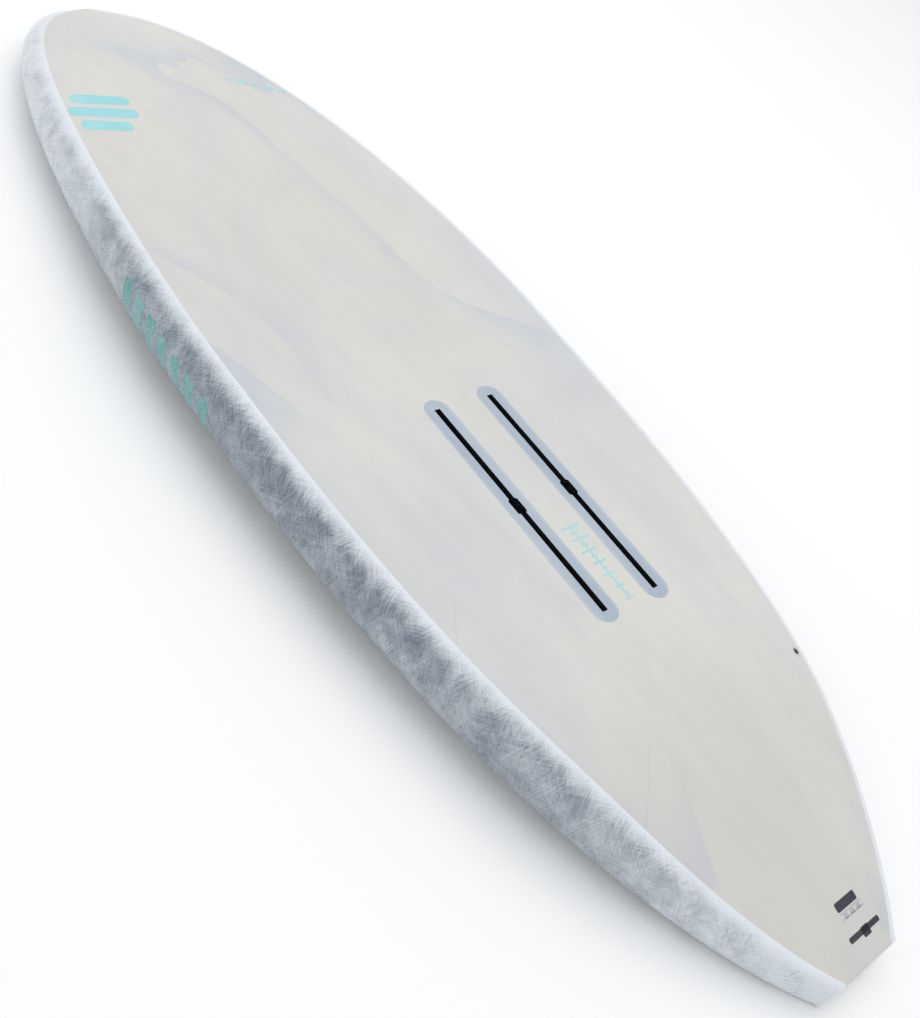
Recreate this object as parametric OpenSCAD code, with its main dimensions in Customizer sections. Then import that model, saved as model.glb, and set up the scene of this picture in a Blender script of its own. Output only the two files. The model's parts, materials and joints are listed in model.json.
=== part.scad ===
// Sailing foil board, lying deck down with its bottom up.
// +X points to the nose, +Y to the left side as drawn, +Z out of the bottom.
// The origin is under the middle of the board, on the surface that the deck pads rest on.

/* [Board] */
// Length over all
board_len = 1788; // [1500:1:2100]
// Width of the bottom between its two chines, at the widest place
chine_w = 528; // [440:1:640]
// Thickness of the board at the foil tracks, without the pads
board_t = 124; // [105:1:150]
// Distance of the widest place from the tail
wide_from_tail = 971; // [800:1:1100]
// Width of the square tail, between its chines
tail_w = 111; // [90:1:220]

/* [Outline] */
// How full the outline is between its widest place and the nose
nose_full = 1.55; // [1.4:0.01:2.2]
// How blunt the nose is
nose_blunt = 2.34; // [2:0.01:2.6]
// How long the outline stays wide before the tail
tail_full = 2.8; // [2:0.01:3.2]
// How round the outline is at the tail
tail_blunt = 1.37; // [1.2:0.01:1.8]

/* [Bottom] */
// Height of the chine below the foil tracks at the widest place
chine_drop = 16; // [8:0.5:24]
// Rise of the chine line from the widest place to the nose
nose_rise = 59; // [40:1:70]
// How late that rise comes
nose_rise_power = 2.66; // [2:0.01:3.5]
// Rise of the keel line from the flat to the nose
keel_rise = 70; // [50:1:80]
// How late the keel line rises
keel_rise_power = 2.9; // [2:0.01:3.5]
// Steady fall of the chine line towards the tail, per mm
chine_slope = 0.01; // [0:0.001:0.02]
// Distance of the tail kick's middle from the tail, along the chine
kick_from_tail = 266; // [200:1:320]
// Slope of the tail kick along the chine
kick_slope = 0.203; // [0.1:0.001:0.25]
// Softness of the bend into the tail kick
kick_soft = 76; // [40:1:120]
// Slope of the tail kick along the keel
keel_kick_slope = 0.232; // [0.1:0.001:0.26]
// Length of the bend into the tail kick, along the keel
keel_kick_bend = 140; // [80:1:200]
// Half width of the flat panel that holds the foil tracks
flat_half = 83; // [80:1:92]

/* [Rails] */
// How far the rail swells past the chine amidships
rail_bulge = 20.5; // [8:0.5:30]
// How far the rail swells past the chine at the nose
nose_bulge = 16.5; // [8:0.5:24]
// How far the rail tucks in under the deck edge amidships
rail_tuck = 18.5; // [8:0.5:26]
// How far the rail tucks in at the ends
end_tuck = 4; // [1:0.5:10]
// Depth of the deck edge below the foil tracks amidships
edge_drop = 109.5; // [95:0.5:112]
// Depth of the deck edge at the nose
nose_edge_drop = 121; // [110:0.5:122]
// Depth of the deck edge at the tail
tail_edge_drop = 128; // [115:0.5:128]
// Width of the foam rail strip inside the chine
rail_w = 40; // [30:1:60]
// Width of the rail's rim beside the bottom skin
rim_w = 8; // [5:0.5:14]

/* [Skins] */
// Thickness of the sandwich skins
skin_t = 3; // [2:0.1:4]
// Glue line between bonded pieces
bond = 0.3; // [0.2:0.05:0.4]
// Width of the rolled strip between the flat deck and the rail strip
deck_roll = 30; // [20:1:45]
// How far the deck drops at the tail
tail_sink = 3.5; // [0:0.1:3.5]
// Length of the solid nose block
nose_block_len = 140; // [110:1:180]
// Length of the solid tail block
tail_block_len = 121; // [112:1:150]
// Thickness of the two stringers
stringer_t = 3; // [2:0.1:5]

/* [Foil tracks] */
// Distance of the foil tracks' middle from the tail
track_from_tail = 621; // [560:1:680]
// Distance between the two tracks
track_gap = 90; // [90:1:92]
// Length of each track slot
slot_len = 330; // [270:1:400]
// Width of each track slot
slot_w = 9; // [8.8:0.1:10]
// Width of the drop-in port in the middle of a slot
port_w = 15; // [14.6:0.1:17]
// Length of the drop-in port
port_len = 23; // [21:0.5:30]
// Corner cut of the drop-in port
port_cut = 3; // [1:0.1:4]
// Width of the patch round each track
patch_w = 40; // [36:0.5:56]
// How far the patch runs past the slot at each end
patch_over = 16; // [14:0.5:30]
// Outer width of a track box
box_w = 26; // [24:0.5:32]
// Outer depth of a track box, under the patch
box_depth = 27; // [24:0.5:40]
// Wall past each end of the slot
box_end = 12; // [6:0.5:20]
// Thickness of the box's lips
lip_t = 3.5; // [2.5:0.1:5]
// Height of the nut channel under the lips
channel_h = 8; // [7:0.1:10]
// Depth of the bolt groove under the nut channel
groove_depth = 8; // [4:0.5:10]
// Width of the foam block round a track box
block_w = 66; // [40:1:70]
// Length of foam past each end of a track box
block_over = 12; // [6:1:16]

/* [Foil nuts] */
// Distance between the fore and aft nuts
nut_gap = 165; // [150:1:180]
// Length of a nut
nut_len = 20; // [16:0.5:22]
// Height of a nut's head
nut_head_h = 4.5; // [3:0.1:5.5]
// Height of a nut's neck
nut_neck_h = 3; // [2:0.1:4]
// Radius of a nut's threaded hole
nut_hole_r = 4; // [3:0.1:4.2]
// Play of a nut in its track, on each side
nut_play = 0.3; // [0.2:0.05:0.5]

/* [Mast track] */
// Distance of the mast track's middle from the nose
mast_from_nose = 477; // [450:1:530]
// Length of the mast slot
mast_slot_len = 220; // [160:1:240]
// Width of the mast slot
mast_slot_w = 11; // [10:0.5:13]
// Outer length of the mast box
mast_box_len = 256; // [246:1:280]
// Outer width of the mast box
mast_box_w = 36; // [34:1:44]
// Outer depth of the mast box
mast_box_depth = 30; // [27:1:36]
// Thickness of the mast box's lips
mast_lip_t = 5; // [4:0.1:7]
// Width of the mast nut's channel
mast_channel_w = 22; // [20:0.5:24]
// Height of the mast nut's channel
mast_channel_h = 9; // [8:0.1:11]
// Depth of the groove for the mast bolt's tip
mast_groove_depth = 8; // [4:0.5:9]
// Length of the mast nut
mast_nut_len = 36; // [26:1:50]
// Height of the mast nut's head
mast_nut_h = 5; // [4:0.1:6]
// Radius of the mast nut's threaded hole
mast_hole_r = 4; // [3:0.1:5]
// Foam round the mast box at its sides
mast_block_side = 22; // [10:1:28]
// Foam past the mast box's ends and under its floor
mast_block_end = 26; // [10:1:40]

/* [Foot straps] */
// Distance of the front straps' middle from the tail
front_strap_from_tail = 921; // [880:1:960]
// Distance of the back straps' middle from the tail
back_strap_from_tail = 371; // [360:1:420]
// Distance of the front straps' inserts from the centre line
front_strap_y = 140; // [110:1:145]
// Distance of the back straps' inserts from the centre line
back_strap_y = 109; // [100:1:110]
// Distance between the two inserts of a strap
strap_gap = 150; // [120:1:160]
// Outer radius of an insert
insert_r = 9; // [7:0.5:10]
// Length of an insert
insert_len = 30; // [20:1:40]
// Radius of an insert's threaded hole
insert_hole_r = 3; // [2.5:0.1:4]
// Depth of an insert's threaded hole
insert_hole_depth = 22; // [15:1:28]

/* [Pads] */
// Thickness of the deck pads
pad_t = 5; // [4:0.5:8]
// Inset of a pad from the edge of the flat deck
pad_inset = 8; // [4:1:20]
// Where the front pad starts, from the tail
front_pad_start = 721; // [700:1:760]
// Gap between the front pad and the mast track's box
pad_mast_gap = 22; // [15:1:60]
// Where the rear pad starts, from the tail
rear_pad_start = 221; // [221:1:260]
// Length of the rear pad
rear_pad_len = 460; // [300:1:470]
// Room round an insert in a pad
pad_hole_play = 2; // [1:0.5:4]

/* [Vent] */
// Distance of the vent from the tail
vent_from_tail = 312; // [290:1:330]
// Distance of the vent from the chine
vent_from_chine = 17.927; // [16:0.001:26]
// Radius of the vent's flange
vent_flange_r = 8; // [7.5:0.1:9]
// Thickness of the vent's flange
vent_flange_t = 1.5; // [1:0.1:2]
// Radius of the vent's barrel
vent_barrel_r = 5.5; // [5:0.1:6.5]
// Length of the vent below its flange
vent_barrel_len = 14.5; // [13:0.5:20]
// Radius of the vent screw's head
vent_head_r = 3.9; // [3.5:0.1:4.2]
// Height of the vent screw's head
vent_head_h = 2.8; // [2:0.1:3]
// Radius of the vent screw's shank
vent_shank_r = 2.5; // [2:0.1:2.6]
// Length of the vent screw's shank
vent_shank_len = 6.8; // [5:0.1:7]
// Thickness of the vent's rubber ring
ring_t = 1; // [0.8:0.1:1.2]

/* [Leash cup] */
// Distance of the leash cup from the tail
cup_from_tail = 50; // [40:1:80]
// Outer radius of the leash cup
cup_r = 16; // [14:0.5:18]
// Wall of the leash cup
cup_wall = 2.5; // [2:0.1:3.5]
// Depth of the leash cup
cup_depth = 24; // [18:1:30]
// Radius of the leash pin
pin_r = 2.5; // [2:0.1:3]
// Depth of the pin below the cup's rim
pin_depth = 6; // [4.5:0.5:9]

/* [Hidden] */
$fn = 48;
// Small overrun, so that a cut passes its face
eps = 1;

// Places along the board
tail_x = -board_len / 2;
tip_x = board_len / 2 - nose_bulge;
wide_x = tail_x + wide_from_tail;
track_x = tail_x + track_from_tail;
mast_x = board_len / 2 - mast_from_nose;
nose_block_x = tip_x - nose_block_len;
tail_block_x = tail_x + tail_block_len;
kick_x = tail_x + kick_from_tail;
// The bottom is exactly flat round the tracks, with this much to spare past the patches
flat_spare = 8;
flat_front_x = track_x + slot_len / 2 + patch_over + 69;
flat_back_x = track_x - slot_len / 2 - patch_over - flat_spare - 21;
// The deck sinks between these two places
sink_start_x = tail_x + 201;
sink_end_x = tail_x + 81;

// Heights
bottom_top = board_t + pad_t;
skin_gap = skin_t + bond;
track_top = bottom_top - skin_t;
deck_face = pad_t;

// Share of the run from the widest place to the nose, and to the tail
function nose_run(x) = max(0, (x - wide_x) / (tip_x - wide_x));
function tail_run(x) = max(0, (wide_x - x) / (wide_x - tail_x));

// The outline is two closed curves that meet at the widest place; the tail cuts one of them off square
tail_cut = pow(1 - pow(tail_w / chine_w, tail_blunt), 1 / tail_full);
function half_w(x) = chine_w / 2 * (x > wide_x
    ? pow(max(0, 1 - pow(nose_run(x), nose_full)), 1 / nose_blunt)
    : pow(max(0, 1 - pow(tail_run(x) * tail_cut, tail_full)), 1 / tail_blunt));

// Outward direction of the outline in plan, as the slope's angle
slope_step = 0.25;
function outline_angle(x) = atan((half_w(x - slope_step) - half_w(x + slope_step)) / (2 * slope_step));

// Heights of the chine and the keel
function soft_step(d, soft) = (d + sqrt(d * d + soft * soft)) / 2;
function chine_z(x) = bottom_top - chine_drop
    - nose_rise * pow(nose_run(x), nose_rise_power)
    - chine_slope * max(0, wide_x - x)
    - kick_slope * soft_step(kick_x - x, kick_soft);
function keel_front(x) = keel_rise
    * pow(max(0, (x - flat_front_x) / (tip_x - flat_front_x)), keel_rise_power);
function keel_kick(d) = d <= 0 ? 0
    : keel_kick_slope * (d < keel_kick_bend ? d * d / (2 * keel_kick_bend) : d - keel_kick_bend / 2);
function keel_z(x) = bottom_top - keel_front(x) - keel_kick(flat_back_x - x);

// The bottom: flat in the middle, rolled down to the chines, and a vee towards the nose
function flat_at(x) = min(flat_half * (1 - pow(max(0, (x - flat_front_x) / (tip_x - flat_front_x)), 0.7)),
                          half_w(x) * 0.6);
function roll_power(x) = 2 - 0.8 * nose_run(x);
function bottom_z(x, y) = let(f = flat_at(x), w = max(half_w(x), 0.1))
    abs(y) <= f ? keel_z(x)
    : keel_z(x) - (keel_z(x) - chine_z(x)) * pow(min(1, (abs(y) - f) / (w - f)), roll_power(x));

// The rail: a curve from the chine out and round to the deck edge
function swell(x) = rail_bulge
    + (nose_bulge - rail_bulge) * pow(nose_run(x), 3) - rail_bulge * pow(tail_run(x), 3);
function tuck(x) = rail_tuck + (end_tuck - rail_tuck) * pow(max(nose_run(x), tail_run(x)), 3);
function edge_z(x) = bottom_top - edge_drop
    - (nose_edge_drop - edge_drop) * pow(nose_run(x), 2)
    - (tail_edge_drop - edge_drop) * pow(tail_run(x), 2);
rail_upper = 0.25;
rail_lower = 0.92;
// The curve's handles reach out far enough for it to swell by the stated amount
function handle(x) = (swell(x) + 0.14 * tuck(x)) / 0.75;
function rail_out(x, k) = 3 * k * (1 - k) * handle(x) - pow(k, 3) * tuck(x);
function rail_down(k) = 3 * k * pow(1 - k, 2) * rail_upper + 3 * k * k * (1 - k) * rail_lower + pow(k, 3);
// Point of the rail at share k of its curve, for the chine point at x
function rail_pt(x, k) = let(a = outline_angle(x), out = rail_out(x, k)) [
    x + out * sin(a),
    half_w(x) + out * cos(a),
    chine_z(x) - (chine_z(x) - edge_z(x)) * rail_down(k)
];
// Chine point whose rail curve passes the plane at x
function chine_x_for(x, k, tries = 8, guess = undef) = let(g = is_undef(guess) ? x : guess)
    tries == 0 ? g : chine_x_for(x, k, tries - 1, x - rail_out(g, k) * sin(outline_angle(g)));
function rail_pt_at(x, k) = let(p = rail_pt(chine_x_for(x, k), k)) [x, p[1], p[2]];

// The deck: flat in the middle, rolled up to the deck edge, and a little lower at the tail
function inner_y(x) = half_w(x) - rail_w;
function deck_flat(x) = max(half_w(x) * 0.45, inner_y(x) - deck_roll);
function sink(x) = let(t = min(1, max(0, (sink_start_x - x) / (sink_start_x - sink_end_x))))
    tail_sink * t * t * (3 - 2 * t);
function deck_mid(x) = deck_face - sink(x);
function deck_z(x, y) = let(f = deck_flat(x), e = rail_pt_at(x, 1))
    abs(y) <= f ? deck_mid(x)
    : deck_mid(x) + (e[2] - deck_mid(x)) * pow(min(1, (abs(y) - f) / (e[1] - f)), 1.4);

// Stations along the board, with one at each place where the flats start or end
function spread(from, to, n) = [for (i = [0:n - 1]) from + (to - from) * i / n];
stations = concat(
    spread(tail_block_x, sink_start_x, 2),
    spread(sink_start_x, flat_back_x, 6),
    spread(flat_back_x, flat_front_x, 10),
    spread(flat_front_x, nose_block_x, 20),
    [nose_block_x]);
mid_steps = len(stations) - 1;
rail_steps = 7;
tail_steps = 5;
nose_steps = 10;

// Lines along the board where pieces meet or the surface bends
stringer_in = flat_half;
stringer_out = flat_half + stringer_t;
function core_lines(x) = let(
    f = max(deck_flat(x), stringer_out + (inner_y(x) - stringer_out) * 0.35))
    [stringer_out, (stringer_out + f) / 2, f, inner_y(x)];
function both_sides(list) = concat([for (i = [len(list) - 1:-1:1]) -list[i]], list);

// Closed solid through rings of points, with a flat cap at each end. A plate's cap is a row of
// four-sided faces between its upper and lower lines, so that none has all its corners in one line.
function plate_cap(n) = [for (j = [0:n / 2 - 2]) [j, j + 1, n - 2 - j, n - 1 - j]];
function whole_cap(n) = [[for (j = [0:n - 1]) j]];
function backwards(face) = [for (i = [len(face) - 1:-1:0]) face[i]];
function ring_faces(rings, n, cap) = concat(
    [for (i = [0:rings - 2], j = [0:n - 1], half = [0:1]) let(
        a = i * n + j, b = i * n + (j + 1) % n, c = b + n, d = a + n)
        half == 0 ? [a, b, c] : [a, c, d]],
    [for (face = cap) backwards(face)],
    [for (face = cap) [for (j = face) (rings - 1) * n + j]]);
module sweep(rings, plate = false) {
    n = len(rings[0]);
    polyhedron([for (r = rings, p = r) p], ring_faces(len(rings), n, plate ? plate_cap(n) : whole_cap(n)));
}
// Ring at x between an upper and a lower line of points
function plate_ring(x, top, low) = concat(
    [for (p = top) [x, p[0], p[1]]],
    [for (i = [len(low) - 1:-1:0]) [x, low[i][0], low[i][1]]]);

// Upper and lower lines of the foam between the skins, at the given distances from the centre line
function foam_top(x, ys) = [for (y = ys) [y, bottom_z(x, y) - skin_gap]];
function foam_low(x, ys) = [for (y = ys) [y, deck_z(x, y) + skin_gap]];

module foam_strip(ys_at_station) {
    sweep([for (i = [0:mid_steps]) let(x = stations[i], ys = ys_at_station[i])
        plate_ring(x, foam_top(x, ys), foam_low(x, ys))], plate = true);
}

// Places of the four corners of things that repeat
sides = [1, -1];
strap_places = [
    for (s = sides, f = sides) [tail_x + front_strap_from_tail + f * strap_gap / 2, s * front_strap_y],
    for (s = sides, f = sides) [tail_x + back_strap_from_tail + f * strap_gap / 2, s * back_strap_y]
];

// Stadium in plan, centred on the origin
module stadium(length, width) {
    square([length - width, width], center = true);
    for (s = sides) translate([s * (length - width) / 2, 0]) circle(d = width);
}

// Track slot with its drop-in port, in plan
module slot_plan() {
    square([slot_len, slot_w], center = true);
    square([port_len, port_w - 2 * port_cut], center = true);
    square([port_len - 2 * port_cut, port_w], center = true);
    for (s = sides, t = sides)
        translate([s * (port_len / 2 - port_cut), t * (port_w / 2 - port_cut)]) circle(r = port_cut);
}

patch_len = slot_len + 2 * patch_over;
box_len = slot_len + 2 * box_end;
block_len = box_len + 2 * block_over;
nut_head_w = port_w - 2 * nut_play;
channel_w = port_w + 0.4;

// ---- foam inside ----

module core_centre() {
    color("#f2ead2") difference() {
        foam_strip([for (x = stations) both_sides([0, stringer_in / 2, stringer_in - bond])]);
        for (s = sides) translate([track_x - block_len / 2, s * track_gap / 2 - block_w / 2, 0])
            cube([block_len, block_w, bottom_top]);
        translate([mast_x, 0, mast_block_z + mast_block_h / 2])
            cube([mast_block_len, mast_block_w, mast_block_h], center = true);
    }
}

module side_core() {
    difference() {
        foam_strip([for (x = stations) let(l = core_lines(x))
            [l[0] + bond, l[1], l[2], l[3] - bond]]);
        for (p = strap_places) translate([p[0], abs(p[1]), 0])
            cylinder(r = insert_r, h = deck_face + insert_len);
    }
}
module core_left() { color("#f4edd8") side_core(); }
module core_right() { color("#f4edd8") mirror([0, 1, 0]) side_core(); }

module stringer() {
    foam_strip([for (x = stations) [stringer_in, stringer_out]]);
}
module stringer_left() { color("#2b2d30") stringer(); }
module stringer_right() { color("#2b2d30") mirror([0, 1, 0]) stringer(); }

module rail() {
    sweep([for (x = stations) let(
        w = half_w(x), rim = w - rim_w, in = inner_y(x), edge = rail_pt_at(x, 1))
        concat(
            [[x, rim, bottom_z(x, rim)], [x, w, chine_z(x)]],
            [for (i = [1:rail_steps]) rail_pt_at(x, i / rail_steps)],
            [[x, edge[1], edge[2] + skin_gap],
             [x, in, deck_z(x, in) + skin_gap],
             [x, in, bottom_z(x, in) - skin_gap],
             [x, rim, bottom_z(x, rim) - skin_gap]])]);
}
module rail_left() { color("#a3adbb") rail(); }
module rail_right() {
    color("#a3adbb") difference() {
        mirror([0, 1, 0]) rail();
        at_vent() vent_barrel_room();
    }
}

// Whole section of the board at a plane, from the left chine over the bottom and back along the deck
function bottom_lines(w) = [0, w * 0.33, w * 0.66, max(w - rim_w, w * 0.85), w];
function whole_ring(x) = let(e = rail_pt_at(x, 1), ys = both_sides(bottom_lines(half_w(x))))
    concat(
        [for (y = ys) [x, y, bottom_z(x, y)]],
        [for (i = [1:rail_steps]) rail_pt_at(x, i / rail_steps)],
        [for (y = [e[1] / 2, 0, -e[1] / 2]) [x, y, deck_z(x, y)]],
        [for (i = [rail_steps:-1:1]) let(p = rail_pt_at(x, i / rail_steps)) [x, -p[1], p[2]]]);

module tail_block() {
    color("#e9e8e4") difference() {
        sweep([for (i = [0:tail_steps]) whole_ring(tail_x + (tail_block_len - bond) * i / tail_steps)]);
        translate([tail_x + cup_from_tail, 0, -eps])
            cylinder(r = cup_r, h = deck_mid(tail_x) + cup_depth + eps);
    }
}

// The nose block's lines all run from the same flat face to the tip
nose_face_x = nose_block_x + bond;
function nose_share(i) = i == nose_steps ? 0.9999 : 1 - pow(1 - i / nose_steps, 2.3);
function nose_x(from, i) = from + (tip_x - from) * nose_share(i);
function nose_rail_pt(i, k, side) = let(
    p = rail_pt(nose_x(chine_x_for(nose_face_x, k), i), k))
    [i == 0 ? nose_face_x : p[0], side * p[1], p[2]];
function nose_ring(i) = let(
    x = nose_x(nose_face_x, i), e = nose_rail_pt(i, 1, 1), w = half_w(x))
    concat(
        [for (y = both_sides(bottom_lines(w))) [x, y, bottom_z(x, y)]],
        [for (k = [1:rail_steps]) nose_rail_pt(i, k / rail_steps, 1)],
        [for (y = [e[1] / 2, 0, -e[1] / 2]) [e[0], y, deck_mid(x) + (e[2] - deck_mid(x)) * abs(y / e[1])]],
        [for (k = [rail_steps:-1:1]) nose_rail_pt(i, k / rail_steps, -1)]);

module nose_block() {
    rings = [for (i = [0:nose_steps]) nose_ring(i)];
    n = len(rings[0]);
    low = 9;
    last = nose_steps * n;
    // The tip closes with strips from its left rail to its right one
    right = concat([low - 1], [for (k = [1:rail_steps]) low - 1 + k]);
    left = concat([0], [for (k = [1:rail_steps]) n - k]);
    body = ring_faces(nose_steps + 1, n, whole_cap(n));
    side_faces = [for (i = [0:len(body) - 2]) body[i]];
    strips = [for (k = [1:rail_steps - 1])
        [last + left[k], last + right[k], last + right[k + 1], last + left[k + 1]]];
    top_strip = concat([for (j = [0:low - 1]) last + j], [last + right[1], last + left[1]]);
    deck_strip = [for (j = [low - 1 + rail_steps:low + 3 + rail_steps]) last + j];
    color("#e9e8e4")
        polyhedron([for (r = rings, p = r) p], concat(side_faces, strips, [top_strip, deck_strip]));
}

// ---- skins ----

function bottom_half_lines(x) = let(l = core_lines(x), rim = half_w(x) - rim_w - bond)
    concat([0, stringer_in / 2, stringer_in], [l[0], l[1], l[2], l[3]], [rim]);
module bottom_skin() {
    color("#dcdad3") difference() {
        sweep([for (x = stations) let(ys = both_sides(bottom_half_lines(x))) plate_ring(x,
            [for (y = ys) [y, bottom_z(x, y)]], [for (y = ys) [y, bottom_z(x, y) - skin_t]])], plate = true);
        for (s = sides) translate([track_x, s * track_gap / 2, track_top - eps])
            linear_extrude(skin_t + 2 * eps) stadium(patch_len, patch_w);
        at_vent() vent_barrel_room();
        at_vent() vent_flange_room();
    }
}

function deck_half_lines(x) = let(l = core_lines(x), e = rail_pt_at(x, 1))
    concat([0, stringer_in / 2, stringer_in], [l[0], l[1], l[2], l[3]], [e[1] - bond]);
module deck_skin() {
    color("#d3d5d6") difference() {
        sweep([for (x = stations) let(ys = both_sides(deck_half_lines(x))) plate_ring(x,
            [for (y = ys) [y, deck_z(x, y) + skin_t]], [for (y = ys) [y, deck_z(x, y)]])], plate = true);
        translate([mast_x, 0, deck_face]) cube([mast_box_len, mast_box_w, 3 * skin_t], center = true);
        for (p = strap_places) translate([p[0], p[1], deck_face - eps])
            cylinder(r = insert_r, h = skin_t + 2 * eps);
    }
}

// ---- foil tracks ----

module track_block(s) {
    block_low = deck_face + skin_gap;
    translate([track_x, s * track_gap / 2, 0]) difference() {
        translate([-block_len / 2, -block_w / 2, block_low])
            cube([block_len, block_w, track_top - bond - block_low]);
        translate([-box_len / 2, -box_w / 2, track_top - box_depth])
            cube([box_len, box_w, box_depth]);
    }
}
module track_block_left() { color("#c9b98c") track_block(1); }
module track_block_right() { color("#c9b98c") track_block(-1); }

module track_patch(s) {
    translate([track_x, s * track_gap / 2, track_top]) linear_extrude(skin_t) difference() {
        stadium(patch_len - 2 * bond, patch_w - 2 * bond);
        slot_plan();
    }
}
module track_patch_left() { color("#b6c6d4") track_patch(1); }
module track_patch_right() { color("#b6c6d4") track_patch(-1); }

module track_box(s) {
    translate([track_x, s * track_gap / 2, track_top]) difference() {
        translate([-box_len / 2, -box_w / 2, -box_depth]) cube([box_len, box_w, box_depth]);
        translate([0, 0, -lip_t - eps]) linear_extrude(lip_t + 2 * eps) slot_plan();
        translate([-slot_len / 2, -channel_w / 2, -lip_t - channel_h])
            cube([slot_len, channel_w, channel_h]);
        translate([-slot_len / 2, -slot_w / 2, -lip_t - channel_h - groove_depth])
            cube([slot_len, slot_w, groove_depth + eps]);
    }
}
module track_box_left() { color("#1f2226") track_box(1); }
module track_box_right() { color("#1f2226") track_box(-1); }

module foil_nut(f, s) {
    floor_z = track_top - lip_t - channel_h + nut_play / 2;
    neck_w = slot_w - 2 * nut_play;
    color("#b9bcc0") translate([track_x + f * nut_gap / 2, s * track_gap / 2, floor_z]) difference() {
        union() {
            translate([-nut_len / 2, -nut_head_w / 2, 0]) cube([nut_len, nut_head_w, nut_head_h]);
            translate([-nut_len / 2, -neck_w / 2, 0]) cube([nut_len, neck_w, nut_head_h + nut_neck_h]);
        }
        translate([0, 0, -eps]) cylinder(r = nut_hole_r, h = nut_head_h + nut_neck_h + 2 * eps);
    }
}
module foil_nut_fore_left() { foil_nut(1, 1); }
module foil_nut_fore_right() { foil_nut(1, -1); }
module foil_nut_aft_left() { foil_nut(-1, 1); }
module foil_nut_aft_right() { foil_nut(-1, -1); }

// ---- mast track, on the deck ----

mast_block_z = deck_face + skin_gap;
mast_block_len = mast_box_len + 2 * mast_block_end;
mast_block_w = mast_box_w + 2 * mast_block_side;
mast_block_h = mast_box_depth - skin_gap + mast_block_end;

module mast_block() {
    color("#c9b98c") translate([mast_x, 0, 0]) difference() {
        translate([-mast_block_len / 2, -mast_block_w / 2, mast_block_z])
            cube([mast_block_len, mast_block_w, mast_block_h]);
        translate([-mast_box_len / 2, -mast_box_w / 2, deck_face])
            cube([mast_box_len, mast_box_w, mast_box_depth]);
    }
}

module mast_box() {
    color("#1f2226") translate([mast_x, 0, deck_face]) difference() {
        translate([-mast_box_len / 2, -mast_box_w / 2, 0]) cube([mast_box_len, mast_box_w, mast_box_depth]);
        translate([-mast_slot_len / 2, -mast_slot_w / 2, -eps])
            cube([mast_slot_len, mast_slot_w, mast_lip_t + mast_channel_h + mast_groove_depth + eps]);
        translate([-mast_slot_len / 2, -mast_channel_w / 2, mast_lip_t])
            cube([mast_slot_len, mast_channel_w, mast_channel_h]);
    }
}

module mast_nut() {
    head_w = mast_channel_w - 2 * nut_play;
    neck_w = mast_slot_w - 2 * nut_play;
    neck_h = mast_lip_t - 1;
    color("#b9bcc0") translate([mast_x, 0, deck_face + mast_lip_t + nut_play / 2]) difference() {
        union() {
            translate([-mast_nut_len / 2, -head_w / 2, 0]) cube([mast_nut_len, head_w, mast_nut_h]);
            translate([-mast_nut_len / 2, -neck_w / 2, -neck_h])
                cube([mast_nut_len, neck_w, neck_h + mast_nut_h]);
        }
        translate([0, 0, -neck_h - eps]) cylinder(r = mast_hole_r, h = neck_h + mast_nut_h + 2 * eps);
    }
}

// ---- deck fittings ----

module strap_inserts() {
    color("#2c2f33") for (p = strap_places) translate([p[0], p[1], deck_face]) difference() {
        cylinder(r = insert_r, h = insert_len);
        translate([0, 0, -eps]) cylinder(r = insert_hole_r, h = insert_hole_depth + eps);
    }
}

// A pad follows the flat deck's edge, inset all round
pad_steps = 8;
module pad(from, length) {
    edge = [for (i = [0:pad_steps]) let(x = tail_x + from + length * i / pad_steps)
        [x, deck_flat(x) - pad_inset]];
    color("#4a5058") difference() {
        linear_extrude(pad_t) polygon(concat(edge, [for (i = [pad_steps:-1:0]) [edge[i][0], -edge[i][1]]]));
        for (p = strap_places) translate([p[0], p[1], -eps])
            cylinder(r = insert_r + pad_hole_play, h = pad_t + 2 * eps);
    }
}
front_pad_end = mast_x - mast_box_len / 2 - pad_mast_gap;
module deck_pad_front() { pad(front_pad_start, front_pad_end - tail_x - front_pad_start); }
module deck_pad_rear() { pad(rear_pad_start, rear_pad_len); }

// ---- vent, square to the bottom where it sits ----

vent_x = tail_x + vent_from_tail;
vent_y = half_w(vent_x) - vent_from_chine;
vent_z = bottom_z(vent_x, -vent_y);
vent_dx = bottom_z(vent_x + 1, -vent_y) - bottom_z(vent_x - 1, -vent_y);
vent_dy = bottom_z(vent_x, 1 - vent_y) - bottom_z(vent_x, -1 - vent_y);
vent_lean = atan(norm([vent_dx, vent_dy]) / 2);
vent_turn = atan2(-vent_dy, -vent_dx);
module at_vent() {
    translate([vent_x, -vent_y, vent_z]) rotate([0, 0, vent_turn]) rotate([0, vent_lean, 0]) children();
}
vent_depth = vent_flange_t + vent_barrel_len;
head_play = 0.4;
seat_z = -head_play - vent_head_h - ring_t;
membrane_t = 0.6;
membrane_seat = 3;

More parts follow.
